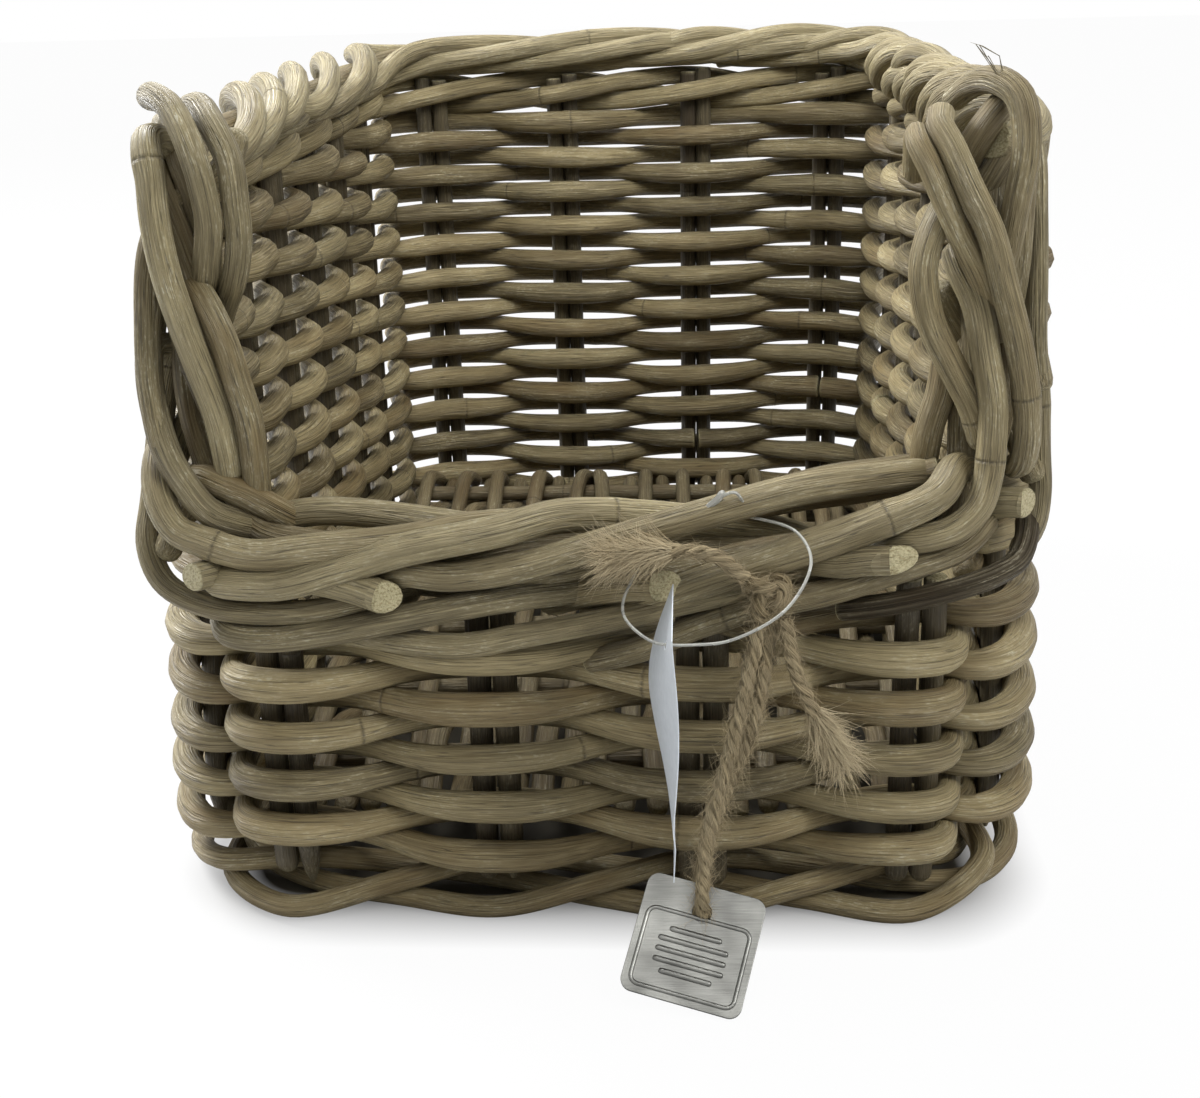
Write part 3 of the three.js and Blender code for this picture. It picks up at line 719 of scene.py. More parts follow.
# %% Knot
knot_steps = 60
knot_wide = 2.05
knot_tall = 2.25
knot_deep = 3.4
knot_points = []
for knot_step in range(knot_steps):
    t = knot_step / knot_steps * 2 * math.pi
    x = (math.sin(t) + 2 * math.sin(2 * t)) * knot_wide
    z = (math.cos(t) - 2 * math.cos(2 * t)) * knot_tall
    y = -math.sin(3 * t) * knot_deep
    knot_points.append(knot_middle + Vector((x, y, z)) * MM)
knot_line = smooth_line(knot_points, 1.1 * MM, closed=True)
knot_bundle = new_bundle()
open_knot = np.vstack([knot_line, knot_line[:1]])
add_plies(knot_bundle, open_knot, 2.7 * MM, lay_length)
knot_piece = bundle_object(knot_bundle, "tied_knot", jute_yarn, "box", ["jute_knot"])
print("knot yarn:", round(line_length(open_knot), 3), "m")

# %% [markdown]
# The hairs make jute look like jute. They stand off the yarn in every direction, and at the two cut tails the
# whole yarn opens into a brush. Each hair is a very thin tapering rod of three sides, bent once. None of
# them reaches down to the surface that the box stands on.

# %% One hair of jute
hair_rings = 6
hair_angles = np.array([0, 2.094, 4.189])
lowest_hair = 0.7 * MM
fuzz_thickness = 0.075 * MM
brush_thickness = 0.12 * MM


def add_hair(bundle, start, direction, length, thickness, droop=0.2, tints=(0.3, 1)):
    """One thin bent hair from start."""
    direction = np.array(direction, float)
    direction /= np.linalg.norm(direction)
    bend = cane.normal(size=3) * 0.6
    bend[2] -= droop
    shares = np.linspace(0, 1, hair_rings)[:, None]
    line = start + direction * length * shares + bend * length * shares ** 2 * 0.5
    line[:, 2] = np.maximum(line[:, 2], lowest_hair)
    side_way, top_way = ring_directions(line)[1:]
    width = thickness * (1 - 0.75 * shares)
    rings = line[:, None, :] + width[..., None] * around_ring(hair_angles, side_way, top_way)
    add_rings(bundle, rings, False)
    size = hair_rings * len(hair_angles)
    space = np.zeros((hair_rings, len(hair_angles), 3))
    space[..., 2] = shares * length + cane.uniform(0, 4)
    bundle["space"].append(space.reshape(-1, 3))
    bundle["tint"].append(np.full(size, cane.uniform(*tints)))
    for key in ("warmth", "cut", "node"):
        bundle[key].append(np.zeros(size))


print("corners of one hair:", hair_rings * len(hair_angles))

# %% Fuzz and brushes


def fuzz_along(bundle, line, count, length):
    """Hairs that stand off a yarn all along its line."""
    tangents, side_way, top_way = ring_directions(line)
    for _ in range(count):
        place = int(cane.integers(len(line)))
        angle = cane.uniform(0, 2 * math.pi)
        away = math.cos(angle) * side_way[place] + math.sin(angle) * top_way[place]
        along = tangents[place] * cane.choice([-1, 1]) * cane.choice([1, 2.5, 4.5])
        root = line[place] + away * jute_radius * 0.85
        add_hair(bundle, root, away + along, cane.uniform(0.35, 1) * length, fuzz_thickness)


def brush_end(bundle, line, count, fan, length):
    """The opened end of a yarn: many fibres that fan out along its last direction."""
    tangents, side_way, top_way = ring_directions(line)
    for _ in range(count):
        back = int(cane.integers(4, 22))
        angle = cane.uniform(0, 2 * math.pi)
        out = math.sqrt(cane.uniform(0, 1))
        away = math.cos(angle) * side_way[-back] + math.sin(angle) * top_way[-back]
        root = line[-back] + away * out * jute_radius * 1.1
        direction = tangents[-back] + away * out * fan
        add_hair(bundle, root, direction, cane.uniform(0.55, 1) * length, brush_thickness, droop=0.1,
                 tints=(0.7, 1.8))


fuzz_bundle = new_bundle()
fuzz_along(fuzz_bundle, loop_line, 2000, 9 * MM)
fuzz_along(fuzz_bundle, open_knot, 900, 8 * MM)
left_brush_bundle = new_bundle()
fuzz_along(left_brush_bundle, left_tail_line, 300, 6 * MM)
brush_end(left_brush_bundle, left_tail_line, 1700, 0.75, 12 * MM)
right_brush_bundle = new_bundle()
fuzz_along(right_brush_bundle, right_tail_line, 400, 7 * MM)
brush_end(right_brush_bundle, right_tail_line, 1100, 0.62, 13 * MM)
jute_fuzz = bundle_object(fuzz_bundle, "jute_fuzz", jute_yarn, "box")
left_brush = bundle_object(left_brush_bundle, "jute_brush_left", jute_yarn, "box")
right_brush = bundle_object(right_brush_bundle, "jute_brush_right", jute_yarn, "box")
hair_bundles = (fuzz_bundle, left_brush_bundle, right_brush_bundle)
print("hairs:", sum(len(bundle["tint"]) for bundle in hair_bundles))

# %% [markdown] Jute cords


print("jute cords: loop and two tails")

# %% [markdown]
# The ticket hangs from a thin loop of clear plastic that was pushed through the border and shot through the
# paper. It is stiffer than the jute and springs out in a wide curve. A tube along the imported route, in a
# clear material with a slight milky tone, is enough for something that thin. The small clear bar that stands
# up on the border, with a thin neck down to the loop, is two short rods of the same material.

# %% Clear plastic


def plain_noise(tree, place, scale, detail=2.0):
    """Round blobs of noise. place is the socket that says where."""
    made = add_node(tree, "ShaderNodeTexNoise")
    made.inputs["Scale"].default_value = scale
    made.inputs["Detail"].default_value = detail
    join(tree, place, made.inputs["Vector"])
    return made.outputs[0]


clear_nylon, nylon_tree, nylon_shader = new_material("clear_nylon")
nylon_shader.inputs["Transmission Weight"].default_value = 0.45
nylon_shader.inputs["IOR"].default_value = 1.5
nylon_place = add_node(nylon_tree, "ShaderNodeTexCoord")
nylon_cloud = plain_noise(nylon_tree, nylon_place.outputs["Object"], 160)
nylon_colour = mix_colours(nylon_tree, nylon_cloud, (0.40, 0.40, 0.36, 1), (0.60, 0.60, 0.55, 1))
join(nylon_tree, nylon_colour, nylon_shader.inputs["Base Color"])
nylon_rough = spread(nylon_tree, nylon_cloud, 0.0, 1.0, 0.15, 0.4)
join(nylon_tree, nylon_rough, nylon_shader.inputs["Roughness"])
print("material:", clear_nylon.name)

# %% Clear loop and its bar
nylon_route = [(44.88, -203.3, 150.66), (53, -214, 154), (66, -225, 153.2), (70, -236, 147),
               (62, -244.5, 135), (45, -247.6, 126), (33, -248, 124.6), (27, -248, 124.6),
               (21, -247.6, 125.4), (13, -241, 129), (11, -231, 131.5), (15.67, -218.96, 139.01)]
nylon_line = cord_line(nylon_route, 1.2)
nylon_bundle = new_bundle()
add_rod(nylon_bundle, nylon_line, 0.5 * MM, sides=10, with_nodes=False, wander=0, oval=0)
nylon_loop = bundle_object(nylon_bundle, "nylon_loop", clear_nylon, "box", ["ticket_loop"])
bar_route = [(36.4, -219.0, 158.2), (40.8, -220.0, 162.0), (43.3, -220.0, 165.3)]
neck_route = [(41.6, -220.0, 163.0), (46.6, -220.5, 165.0), (50.6, -218.0, 158.5), (53.0, -214.0, 154.0)]
bar_bundle = new_bundle()
for route, route_radius in ((bar_route, 1.3), (neck_route, 0.6)):
    add_rod(bar_bundle, cord_line(route, 0.8), route_radius * MM, sides=8, ends=("rounded", "rounded"),
            with_nodes=False, wander=0.08, oval=0.15)
loop_bar = bundle_object(bar_bundle, "loop_bar", clear_nylon, "box")
print("clear loop:", round(line_length(nylon_line), 4), "m")

# %% [markdown]
# The metal tag is a square plate with rounded corners and one hole for the cord. Its front is stamped. A
# stamped line is a low round ridge, so the plate gets a plain ridge along its edge and a few plain bars. The
# plate is drawn flat, as a curve with a hole, given its thickness and turned into a mesh. It is then carried
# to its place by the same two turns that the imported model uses.

# %% Brushed metal
metal_dark = (0.05, 0.05, 0.046, 1)
metal_pale = (0.42, 0.42, 0.39, 1)
brushed_metal, metal_tree, metal_shader = new_material("brushed_metal")
metal_shader.inputs["Metallic"].default_value = 1.0
metal_place = add_node(metal_tree, "ShaderNodeTexCoord")
metal_stretch = add_node(metal_tree, "ShaderNodeMapping")
metal_stretch.inputs["Scale"].default_value = (90, 3500, 3500)
join(metal_tree, metal_place.outputs["Object"], metal_stretch.inputs["Vector"])
metal_scratch = plain_noise(metal_tree, metal_stretch.outputs[0], 1.0, 3.0)
# Painted reflection: a large cloud that mixes dark and pale metal stands for the light and dark patches that
# a shiny plate reflects.
painted_reflection_cloud = plain_noise(metal_tree, metal_place.outputs["Object"], 42)
metal_tone = calculate(metal_tree, "MULTIPLY_ADD", painted_reflection_cloud, 1.5, -0.65)
metal_tone = calculate(metal_tree, "MULTIPLY_ADD", metal_scratch, 0.5, metal_tone)
metal_colour = mix_colours(metal_tree, metal_tone, metal_dark, metal_pale)
join(metal_tree, metal_colour, metal_shader.inputs["Base Color"])
metal_rough = spread(metal_tree, metal_scratch, 0.0, 1.0, 0.22, 0.48)
join(metal_tree, metal_rough, metal_shader.inputs["Roughness"])
dent_surface(metal_tree, metal_scratch, 0.25, 0.2 * MM)
print("material:", brushed_metal.name)

# %% Tag plate
tag_half = 20.5
tag_top = 9.5
tag_bottom = tag_top - 2 * tag_half
tag_corner = 4.0
tag_hole = 3.4
tag_core = 0.42
tag_bevel = 0.18
tag_turn = Matrix.Translation(tag_pivot) @ Matrix.Rotation(math.radians(40), 4, "X")
tag_turn = tag_turn @ Matrix.Translation((0, -bight * MM, 0)) @ Matrix.Rotation(math.radians(-15), 4, "Z")


def rounded_outline(half, top, bottom, corner, per_corner=8):
    """Points of a rounded rectangle, against the clock, in millimetres."""
    outline = []
    centres = [(half - corner, bottom + corner), (half - corner, top - corner),
               (corner - half, top - corner), (corner - half, bottom + corner)]
    for index, (x, y) in enumerate(centres):
        for step in range(per_corner + 1):
            angle = (index - 1 + step / per_corner) * math.pi / 2
            outline.append((x + corner * math.cos(angle), y + corner * math.sin(angle), 0))
    return outline


plate_curve = bpy.data.curves.new("tag_outline", "CURVE")
plate_curve.dimensions = "2D"
plate_curve.fill_mode = "BOTH"
plate_curve.extrude = tag_core * MM
plate_curve.bevel_depth = tag_bevel * MM
plate_curve.bevel_resolution = 2
plate_outline = rounded_outline(tag_half - tag_bevel, tag_top - tag_bevel, tag_bottom + tag_bevel, tag_corner)
hole_outline = []
for angle in np.linspace(0, 2 * math.pi, 32, False):
    hole_outline.append((tag_hole * math.cos(angle), tag_hole * math.sin(angle), 0))
for outline in (plate_outline, hole_outline):
    spline = plate_curve.splines.new("POLY")
    spline.points.add(len(outline) - 1)
    for point, place in zip(spline.points, outline):
        point.co = (place[0] * MM, place[1] * MM, 0, 1)
    spline.use_cyclic_u = True
plate_drawing = new_object("tag_drawing", plate_curve)
bpy.context.view_layer.update()
plate_mesh = bpy.data.meshes.new_from_object(plate_drawing)
bpy.data.objects.remove(plate_drawing)
plate_mesh.name = "tag_plate"
plate_mesh.transform(tag_turn)
plate_mesh.shade_smooth()
plate_mesh.set_sharp_from_angle(angle=math.radians(35))
plate_mesh.materials.clear()
plate_mesh.materials.append(brushed_metal)
tag_plate = new_object("tag_plate", plate_mesh)
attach(tag_plate, "tag")
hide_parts("metal_tag")
print("tag plate:", len(plate_mesh.vertices), "vertices")

# %% Stamped ridges of the tag
ridges = new_bundle()


def add_ridge(points, radius, closed=False):
    """A stamped line on the front of the tag: a rod that is sunk by half into the plate."""
    line = even_line(np.array(points, float), 0.7, closed)
    turned = np.array([tuple(tag_turn @ Vector(tuple(place * MM))) for place in line])
    add_rod(ridges, turned, radius * MM, sides=8, closed=closed, ends=("rounded", "rounded"),
            with_nodes=False, wander=0, oval=0)


edge_ridge = [(x, y, 0.45) for x, y, z in rounded_outline(half=17.6, top=-2.2, bottom=-28.6, corner=3.0)]
add_ridge(edge_ridge + edge_ridge[:1], 0.8, closed=True)
bar_ridges = ((-8, 9), (-11.6, 12), (-15.2, 12), (-18.8, 12), (-22.4, 9))
for level, reach in bar_ridges:
    add_ridge([(-reach, level, tag_core), (reach, level, tag_core)], 1.05)
bundle_object(ridges, "tag_ridges", brushed_metal, "tag")
print("stamped ridges:", 1 + len(bar_ridges))

# %% [markdown]
# The paper ticket is seen almost from its edge. It isn't flat: the middle is turned by some thirteen degrees
# and the two ends hang straight, so it shows a long narrow leaf of its face. It is a thin grid whose turn
# changes with the height, with a round hole near its top where the clear loop passes.

# %% White paper
white_paper, paper_tree, paper_shader = new_material("white_paper")
paper_shader.inputs["Roughness"].default_value = 0.55
paper_place = add_node(paper_tree, "ShaderNodeTexCoord")
paper_fibre = plain_noise(paper_tree, paper_place.outputs["Object"], 420, 3.0)
paper_colour = mix_colours(paper_tree, paper_fibre, (0.54, 0.58, 0.62, 1), (0.68, 0.72, 0.76, 1))
join(paper_tree, paper_colour, paper_shader.inputs["Base Color"])
dent_surface(paper_tree, paper_fibre, 0.15, 0.2 * MM)
print("material:", white_paper.name)

# %% Sheet of the ticket
ticket_pivot = Vector((27, -248, 123.9)) * MM
ticket_width = 44
ticket_top = 12
ticket_height = 83
half_thickness = 0.16
middle_turn = math.radians(13)
ticket_columns = 14
ticket_rows = 36
ticket_sheet = []
for side_step in (1, -1):
    for row in range(ticket_rows + 1):
        share = row / ticket_rows
        turn_here = middle_turn * math.sin(math.pi * min(share / 0.8, 1)) ** 1.1
        belly = 4.5 * math.sin(math.pi * min(share / 0.85, 1))
        for column in range(ticket_columns + 1):
            wide = (column / ticket_columns - 0.5) * ticket_width
            curl = 1.4 * math.sin(math.pi * share) * (wide / 22) ** 2
            x = -wide * math.sin(turn_here) + curl + side_step * half_thickness - belly
            y = wide * math.cos(turn_here)
            z = ticket_top - ticket_height * share
            ticket_sheet.append(tuple(ticket_pivot + Vector((x, y, z)) * MM))
ticket_faces = []
per_row = ticket_columns + 1
per_side = per_row * (ticket_rows + 1)
for row in range(ticket_rows):
    for column in range(ticket_columns):
        near_face = [row * per_row + column + step for step in (0, per_row, per_row + 1, 1)]
        ticket_faces.append(tuple(near_face))
        ticket_faces.append(tuple(near_face[step] + per_side for step in (0, 3, 2, 1)))
rim = list(range(per_row))
rim += [row * per_row + ticket_columns for row in range(1, ticket_rows + 1)]
rim += [ticket_rows * per_row + column for column in reversed(range(ticket_columns))]
rim += [row * per_row for row in reversed(range(1, ticket_rows))]
for index, here in enumerate(rim):
    after = rim[(index + 1) % len(rim)]
    ticket_faces.append((here, after, after + per_side, here + per_side))
ticket_mesh = bpy.data.meshes.new("paper_ticket")
ticket_mesh.from_pydata(ticket_sheet, [], ticket_faces)
ticket_mesh.materials.append(white_paper)
ticket_raw = new_object("ticket_raw", ticket_mesh)
print("faces of the sheet:", len(ticket_faces))

# %% Hole of the ticket
punch_radius = 1.6
punch_sides = 20
punch_ring = []
for reach in (-4, 4):
    for angle in np.linspace(0, 2 * math.pi, punch_sides, False):
        around = Vector((reach, punch_radius * math.cos(angle), punch_radius * math.sin(angle) + 0.7))
        punch_ring.append(tuple(ticket_pivot + around * MM))
punch_faces = [tuple(reversed(range(punch_sides))), tuple(range(punch_sides, 2 * punch_sides))]
for corner in range(punch_sides):
    after = (corner + 1) % punch_sides
    punch_faces.append((corner, after, after + punch_sides, corner + punch_sides))
punch_mesh = bpy.data.meshes.new("punch")
punch_mesh.from_pydata(punch_ring, [], punch_faces)
punch = new_object("punch", punch_mesh)
cutter = ticket_raw.modifiers.new("hole", "BOOLEAN")
cutter.object = punch
cutter.operation = "DIFFERENCE"
bpy.context.view_layer.update()
ticket_cut = bpy.data.meshes.new_from_object(ticket_raw.evaluated_get(bpy.context.evaluated_depsgraph_get()))
bpy.data.objects.remove(ticket_raw)
bpy.data.objects.remove(punch)
ticket_cut.name = "paper_ticket"
paper_ticket = new_object("paper_ticket", ticket_cut)
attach(paper_ticket, "swing_ticket")
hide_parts("ticket")
print("ticket:", len(ticket_cut.vertices), "vertices")

# %% [markdown]
# The walls follow one rounded rectangle. Every woven rod needs a place on it: how far along, how far out and
# how high. Writing that once as a function turns the whole weave into a question of along, out and height.
# Along starts at the middle of the front and goes towards +X, so it runs left to right across the front.
# Behind the two front corners the side walls aren't straight. A second function gives their belly.

# %% The line of the walls
wall_half_width = 141 * MM
wall_half_length = 204 * MM
corner_radius = 40 * MM
front_run = wall_half_width - corner_radius
corner_run = corner_radius * math.pi / 2
side_run = 2 * (wall_half_length - corner_radius)
wall_round = 4 * front_run + 4 * corner_run + 2 * side_run


def from_front(along):
    """How far a place along the wall lies from the middle of the front, by the shorter way."""
    turned = np.mod(along, wall_round)
    return np.minimum(turned, wall_round - turned)


def wall_place(along, out, height):
    """Places at a distance along the wall line, out from it and up. All three may be arrays."""
    along, out, height = np.broadcast_arrays(np.asarray(along, float), out, height)
    mirrored = np.mod(along, wall_round) > wall_round / 2
    near = from_front(along)
    second_corner = near - front_run - corner_run - side_run
    angle = np.clip((near - front_run) / corner_radius, 0, math.pi / 2)
    angle = angle + np.clip(second_corner / corner_radius, 0, math.pi / 2)
    x = np.minimum(near, front_run) - np.maximum(second_corner - corner_run, 0)
    x = x + (corner_radius + out) * np.sin(angle)
    y = corner_radius - wall_half_length + np.clip(near - front_run - corner_run, 0, side_run)
    y = y - (corner_radius + out) * np.cos(angle)
    return np.stack([np.where(mirrored, -x, x), y, height], axis=-1)


print("wall line:", round(wall_round, 3), "m round")

# %% Belly of the side walls
belly_right = 7 * MM
belly_left = 13 * MM
belly_reach = 44 * MM
belly_top = 185 * MM
belly_fade = 150 * MM
stand_in = 4 * MM


def side_swell(along, height):
    """How far a side wall stands out behind its front corner. It leans in a little towards the top."""
    belly = np.exp(-((from_front(along) - front_run - corner_run - 2 * MM) / belly_reach) ** 2)
    most = np.where(np.mod(along, wall_round) < wall_round / 2, belly_right, belly_left)
    return belly * (most * np.clip((belly_top - height) / belly_fade, 0, 1) - stand_in)


print("belly at the foot, right:", round(float(side_swell(front_run + corner_run, 0.0)) / MM, 1), "mm")

# %% [markdown]
# The stakes stand in pairs. Twenty pairs go round the box: two on each half of the front and of the back, and
# six on each side, evenly spaced. Only the right half is written down. The left half is its mirror image.

# %% Where the pairs of stakes stand
first_side_pair = 1
side_pitch = 62.5
front_stations = [36.5 * MM, front_run + 9.1 * MM]
side_stations = [front_run + corner_run + (first_side_pair + side_pitch * pair) * MM for pair in range(6)]
back_stations = [wall_round / 2 - place for place in reversed(front_stations)]
right_half = front_stations + side_stations + back_stations
stations = np.array(right_half + [wall_round - place for place in reversed(right_half)])
pair_count = len(stations)


def station_along(pair):
    """Where a pair of stakes lies along the wall. Numbers past the last pair go on round the box."""
    return stations[pair % pair_count] + wall_round * (pair // pair_count)


print("stake pairs:", pair_count)

# %% [markdown]
# Each pair of stakes is two upright rods side by side. They are pushed down beside the lowest rods, so their
# rounded feet show under the weave, and no two stand quite upright. Their tops end inside the border.

# %% Stakes
low_rim = 134 * MM
high_rim = 268 * MM
stake_radius = 4.25 * MM
stake_spread = 4.35 * MM


def stake_pair(bundle, station, top):
    """Two rods of one pair, with feet and tops that differ a little."""
    for way in (-1, 1):
        foot = cane.uniform(9.8, 14) * MM
        lean = cane.uniform(-0.7, 0.7) * MM
        heights = np.linspace(foot, top - cane.uniform(0, 5) * MM, 24)
        share = (heights - heights[0]) / (heights[-1] - heights[0])
        bow = np.sin(share * math.pi) * cane.uniform(-0.5, 0.5) * MM
        along = station + way * stake_spread + lean * share + bow
        out = 0.25 * MM * np.sin(share * 5) + side_swell(along, heights)
        add_rod(bundle, wall_place(along, out, heights), stake_radius,
                ends=("tapered" if cane.uniform() < 0.5 else "rounded", "cut"), warmth=0.2, wander=0.02)


stake_sides = {"front": [18, 19, 0, 1], "right": [2, 3, 4, 5, 6, 7], "back": [8, 9, 10, 11],
               "left": [12, 13, 14, 15, 16, 17]}
for side_name, pairs in stake_sides.items():
    bundle = new_bundle()
    for pair in pairs:
        stake_pair(bundle, stations[pair], (low_rim if side_name == "front" else high_rim) - 4 * MM)
    solids = [f"stakes_{side_name}_{number + 1}" for number in range(len(pairs))]
    bundle_object(bundle, f"{side_name}_stakes", stake_cane_painted_shade, "box", solids)
print("stake pairs made:", sum(len(pairs) for pairs in stake_sides.values()))

# %% [markdown]
# The plain rows pass in front of one pair and behind the next, and the row above does the opposite. A rod
# doesn't bend in a pure wave. It lies flat over each pair and crosses the gap on a straighter slope, so the
# wave gets a third harmonic. At a corner the rod is kinked, so there the swing is almost a square step, and
# in the two front corners it turns nearer to the front. The rows aren't level either. Neighbours wander up
# and down together, and the lowest ones rise at the front corners.

# %% How a plain row runs
weaver_radius = 4.7 * MM
weaver_out = 9.8 * MM
row_step = 3.2 * MM
first_row = 6.5 * MM
row_pitch = 9.7 * MM
upper_pitch = 9.57 * MM
last_round_row = 10
first_plain_row = 2
top_row = 24
right_corner_gap = 1
left_corner_gap = 17
blunt_gaps = (1, 2, 7, 11, 16, 17)


def row_height(row):
    """The level of a row above the surface that the box stands on."""
    return first_row + row_pitch * min(row, last_round_row) + upper_pitch * max(row - last_round_row, 0)


def wall_wave(along, height):
    """How much a level wanders up and down round the box, with the rise at the front corners."""
    round_share = along / wall_round * 2 * math.pi
    wave = 0.75 * np.sin(3 * round_share + 0.6) + 0.5 * np.sin(7 * round_share + 2.1)
    corner_rise = 7 * MM * np.exp(-((from_front(along) - front_run - 14 * MM) / (42 * MM)) ** 2)
    return wave * MM * min(height / (60 * MM), 1) + corner_rise * np.clip(1 - height / (62 * MM), 0, 1)


def weave_swing(along, row):
    """1 where a plain row lies outside a pair of stakes, -1 where it lies inside one."""
    turned = np.mod(along, wall_round)
    before = np.searchsorted(stations, turned, side="right") - 1
    start = np.where(before < 0, stations[-1] - wall_round, stations[before])
    after = (before + 1) % pair_count
    end = np.where(before == pair_count - 1, stations[0] + wall_round, stations[after])
    share = (turned - start) / (end - start)
    share = np.where(before == right_corner_gap, share ** 0.5, share)
    share = np.where(before == left_corner_gap, 1 - (1 - share) ** 0.65, share)
    swing = np.cos(share * math.pi)
    blunt = 1.5 * swing - 0.5 * swing ** 3
    blunt = 1.5 * blunt - 0.5 * blunt ** 3
    swing = np.where(np.isin(before, blunt_gaps), blunt, 1.25 * swing - 0.25 * swing ** 3)
    sign = np.where((before + row) % 2 == 0, -1, 1)
    return sign * swing


row_levels = [round(row_height(row) / MM, 1) for row in (first_plain_row, top_row)]
print("levels of the plain rows in mm:", row_levels)

# %% [markdown]
# Rows are counted from 0, and the lowest two are the foot, which comes later. Each of the lower rows is one
# rod that goes right round, and its two ends meet behind a pair. The upper rows go round the sides and the
# back only. At the two front edges they turn inwards and end behind the border. The first of them starts on
# the front, right of the middle, where the low border leaves a gap.

# %% Plain woven rows
edge_place = front_run + 40 * MM
gap_row = last_round_row + 1
gap_row_start = 34 * MM
tuck_depth = 7 * MM
tuck_reach = 24 * MM


def woven_row(bundle, row, start, stop, ends):
    """One plain row as a rod from start to stop along the wall. It is thickest beside the stakes."""
    along = np.arange(start, stop, row_step)
    level = row_height(row)
    own = cane.uniform(0, 6.28)
    wobble = 0.45 * np.sin(along * 21 + own) + 0.3 * np.sin(along * 47 + 2 * own)
    height = level + wall_wave(along, level) + wobble * MM
    swing = weave_swing(along, row)
    tuck = np.ones(len(along))
    if row > last_round_row:
        from_end = np.minimum(along - start, stop - along)
        tuck = np.clip((from_end + 2 * MM) / tuck_reach, 0, 1)
    out = swing * tuck * weaver_out - (1 - tuck) * tuck_depth + side_swell(along, level)
    add_rod(bundle, wall_place(along, out, height), weaver_radius * cane.uniform(0.95, 1.03), ends=ends,
            warmth=cane.choice([0.05, 0.2, 0.5]), wander=0.035, thick=1 + 0.25 * swing ** 2 * tuck)


lower_rows = new_bundle()
for row in range(first_plain_row, last_round_row + 1):
    inside = [place for index, place in enumerate(stations) if (index + row) % 2 == 0]
    start = inside[int(cane.integers(len(inside)))]
    woven_row(lower_rows, row, start + 1 * MM, start + wall_round - 0.5 * MM, ("cut", "cut"))
bundle_object(lower_rows, "lower_rows", weaver_cane, "box",
              [f"ring_weaver_{number}" for number in range(3, 12)])

upper_rows = new_bundle()
for row in range(gap_row, top_row + 1):
    start = edge_place + cane.uniform(-4, 2) * MM
    if row == gap_row:
        start = gap_row_start
    woven_row(upper_rows, row, start, wall_round - edge_place, ("rounded", "rounded"))
bundle_object(upper_rows, "upper_rows", weaver_cane, "box",
              ["ring_weaver_12"] + [f"side_weaver_{number}" for number in range(1, 8)])
print("plain rows:", top_row + 1 - first_plain_row)

# %% [markdown]
# At the foot three rods are laid together. Each one sweeps low past one pair and rises inside the next two,
# so long slanting rods show under the plain rows. With 20 pairs of stakes a pattern of three doesn't close
# after one round. It closes after three, so one very long rod makes the whole foot. The list of steps says
# how far out and how high it lies at each pair and half-way to the next one, in millimetres.

# %% The foot, made of rods laid three by three
foot_rounds = 3
foot_steps = [(9.0, 4.9), (5.0, 13.0), (-8.8, 14.9), (-10.4, 10.5), (-9.0, 5.4), (1.5, 4.9)]
foot_points = []
for step in range(foot_rounds * pair_count):
    here = station_along(step)
    later = station_along(step + 1)
    for half in range(2):
        out, height = foot_steps[2 * (step % 3) + half]
        jitter = cane.uniform(-0.4, 0.4)
        place = here + (later - here) * half / 2
        swell = side_swell(place, height * MM)
        foot_points.append(wall_place(place, (out + jitter) * MM + swell, height * MM))
foot_wale = new_bundle()
foot_line = smooth_line(foot_points, row_step, closed=True)
add_rod(foot_wale, foot_line, 4.3 * MM, closed=True, warmth=0.25, wander=0.03, tint=0.5)
bundle_object(foot_wale, "foot_rods", weaver_cane, "box", ["ring_weaver_1", "ring_weaver_2"])
print("foot rod, three rounds:", round(line_length(foot_line), 2), "m")

# %% [markdown]
# The same kind of weave locks the top of the sides and back. Here each rod passes outside two pairs, first
# low and then high, and inside the third. At both ends it stays inside the wall, runs on a little towards the
# front and stops behind the front edges of the border, rounded off.

# %% The locking rows under the high border
lock_low = 245.5 * MM
lock_high = 258.5 * MM
lock_rods = 3
lock_first = 2
lock_last = 17
lock_run_on = 24 * MM
lock_inside = -9 * MM
lock_levels = [(0.5, 0.1), (0.0, 0.5), (1.0, 0.9)]
lock_outs = [(-9.3, 0.3), (9.3, 10.0), (9.3, -0.3)]
lock_end_outs = (-9.3, -0.3)


def locking_rod(bundle, phase):
    """One rod of the three-rod weave, from the first side pair at the right to the last one at the left."""
    rise = lock_high - lock_low
    end_level = lock_low + rise * 0.5
    points = [wall_place(stations[lock_first] - lock_run_on, lock_inside, end_level)]
    for step in range(lock_first, lock_last + 1):
        here = station_along(step)
        later = station_along(step + 1)
        levels = lock_levels[(step + phase) % 3]
        outs = lock_outs[(step + phase) % 3]
        if step in (lock_first, lock_last):
            outs = lock_end_outs
        for half in range(1 if step == lock_last else 2):
            place = here + (later - here) * half / 2
            points.append(wall_place(place, outs[half] * MM, lock_low + rise * levels[half]))
    points.append(wall_place(stations[lock_last] + lock_run_on, lock_inside, end_level))
    add_rod(bundle, smooth_line(points, row_step), weaver_radius, warmth=cane.uniform(0, 0.2),
            tint=cane.uniform(0.5, 1), ends=("rounded", "rounded"))


lock_rows = new_bundle()
for phase in range(lock_rods):
    locking_rod(lock_rows, phase)
bundle_object(lock_rows, "locking_rows", weaver_cane, "box")
print("locking rods:", lock_rods)

# %% [markdown]
# The bottom is woven flat and stands a few rows above the surface: six sticks go from side to side, and
# closely set rods run front to back over and under them. The sticks keep the places that they have in the
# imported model. Over the low front the rods show as a row of tall and short humps, so each one gets its own
# small drift.

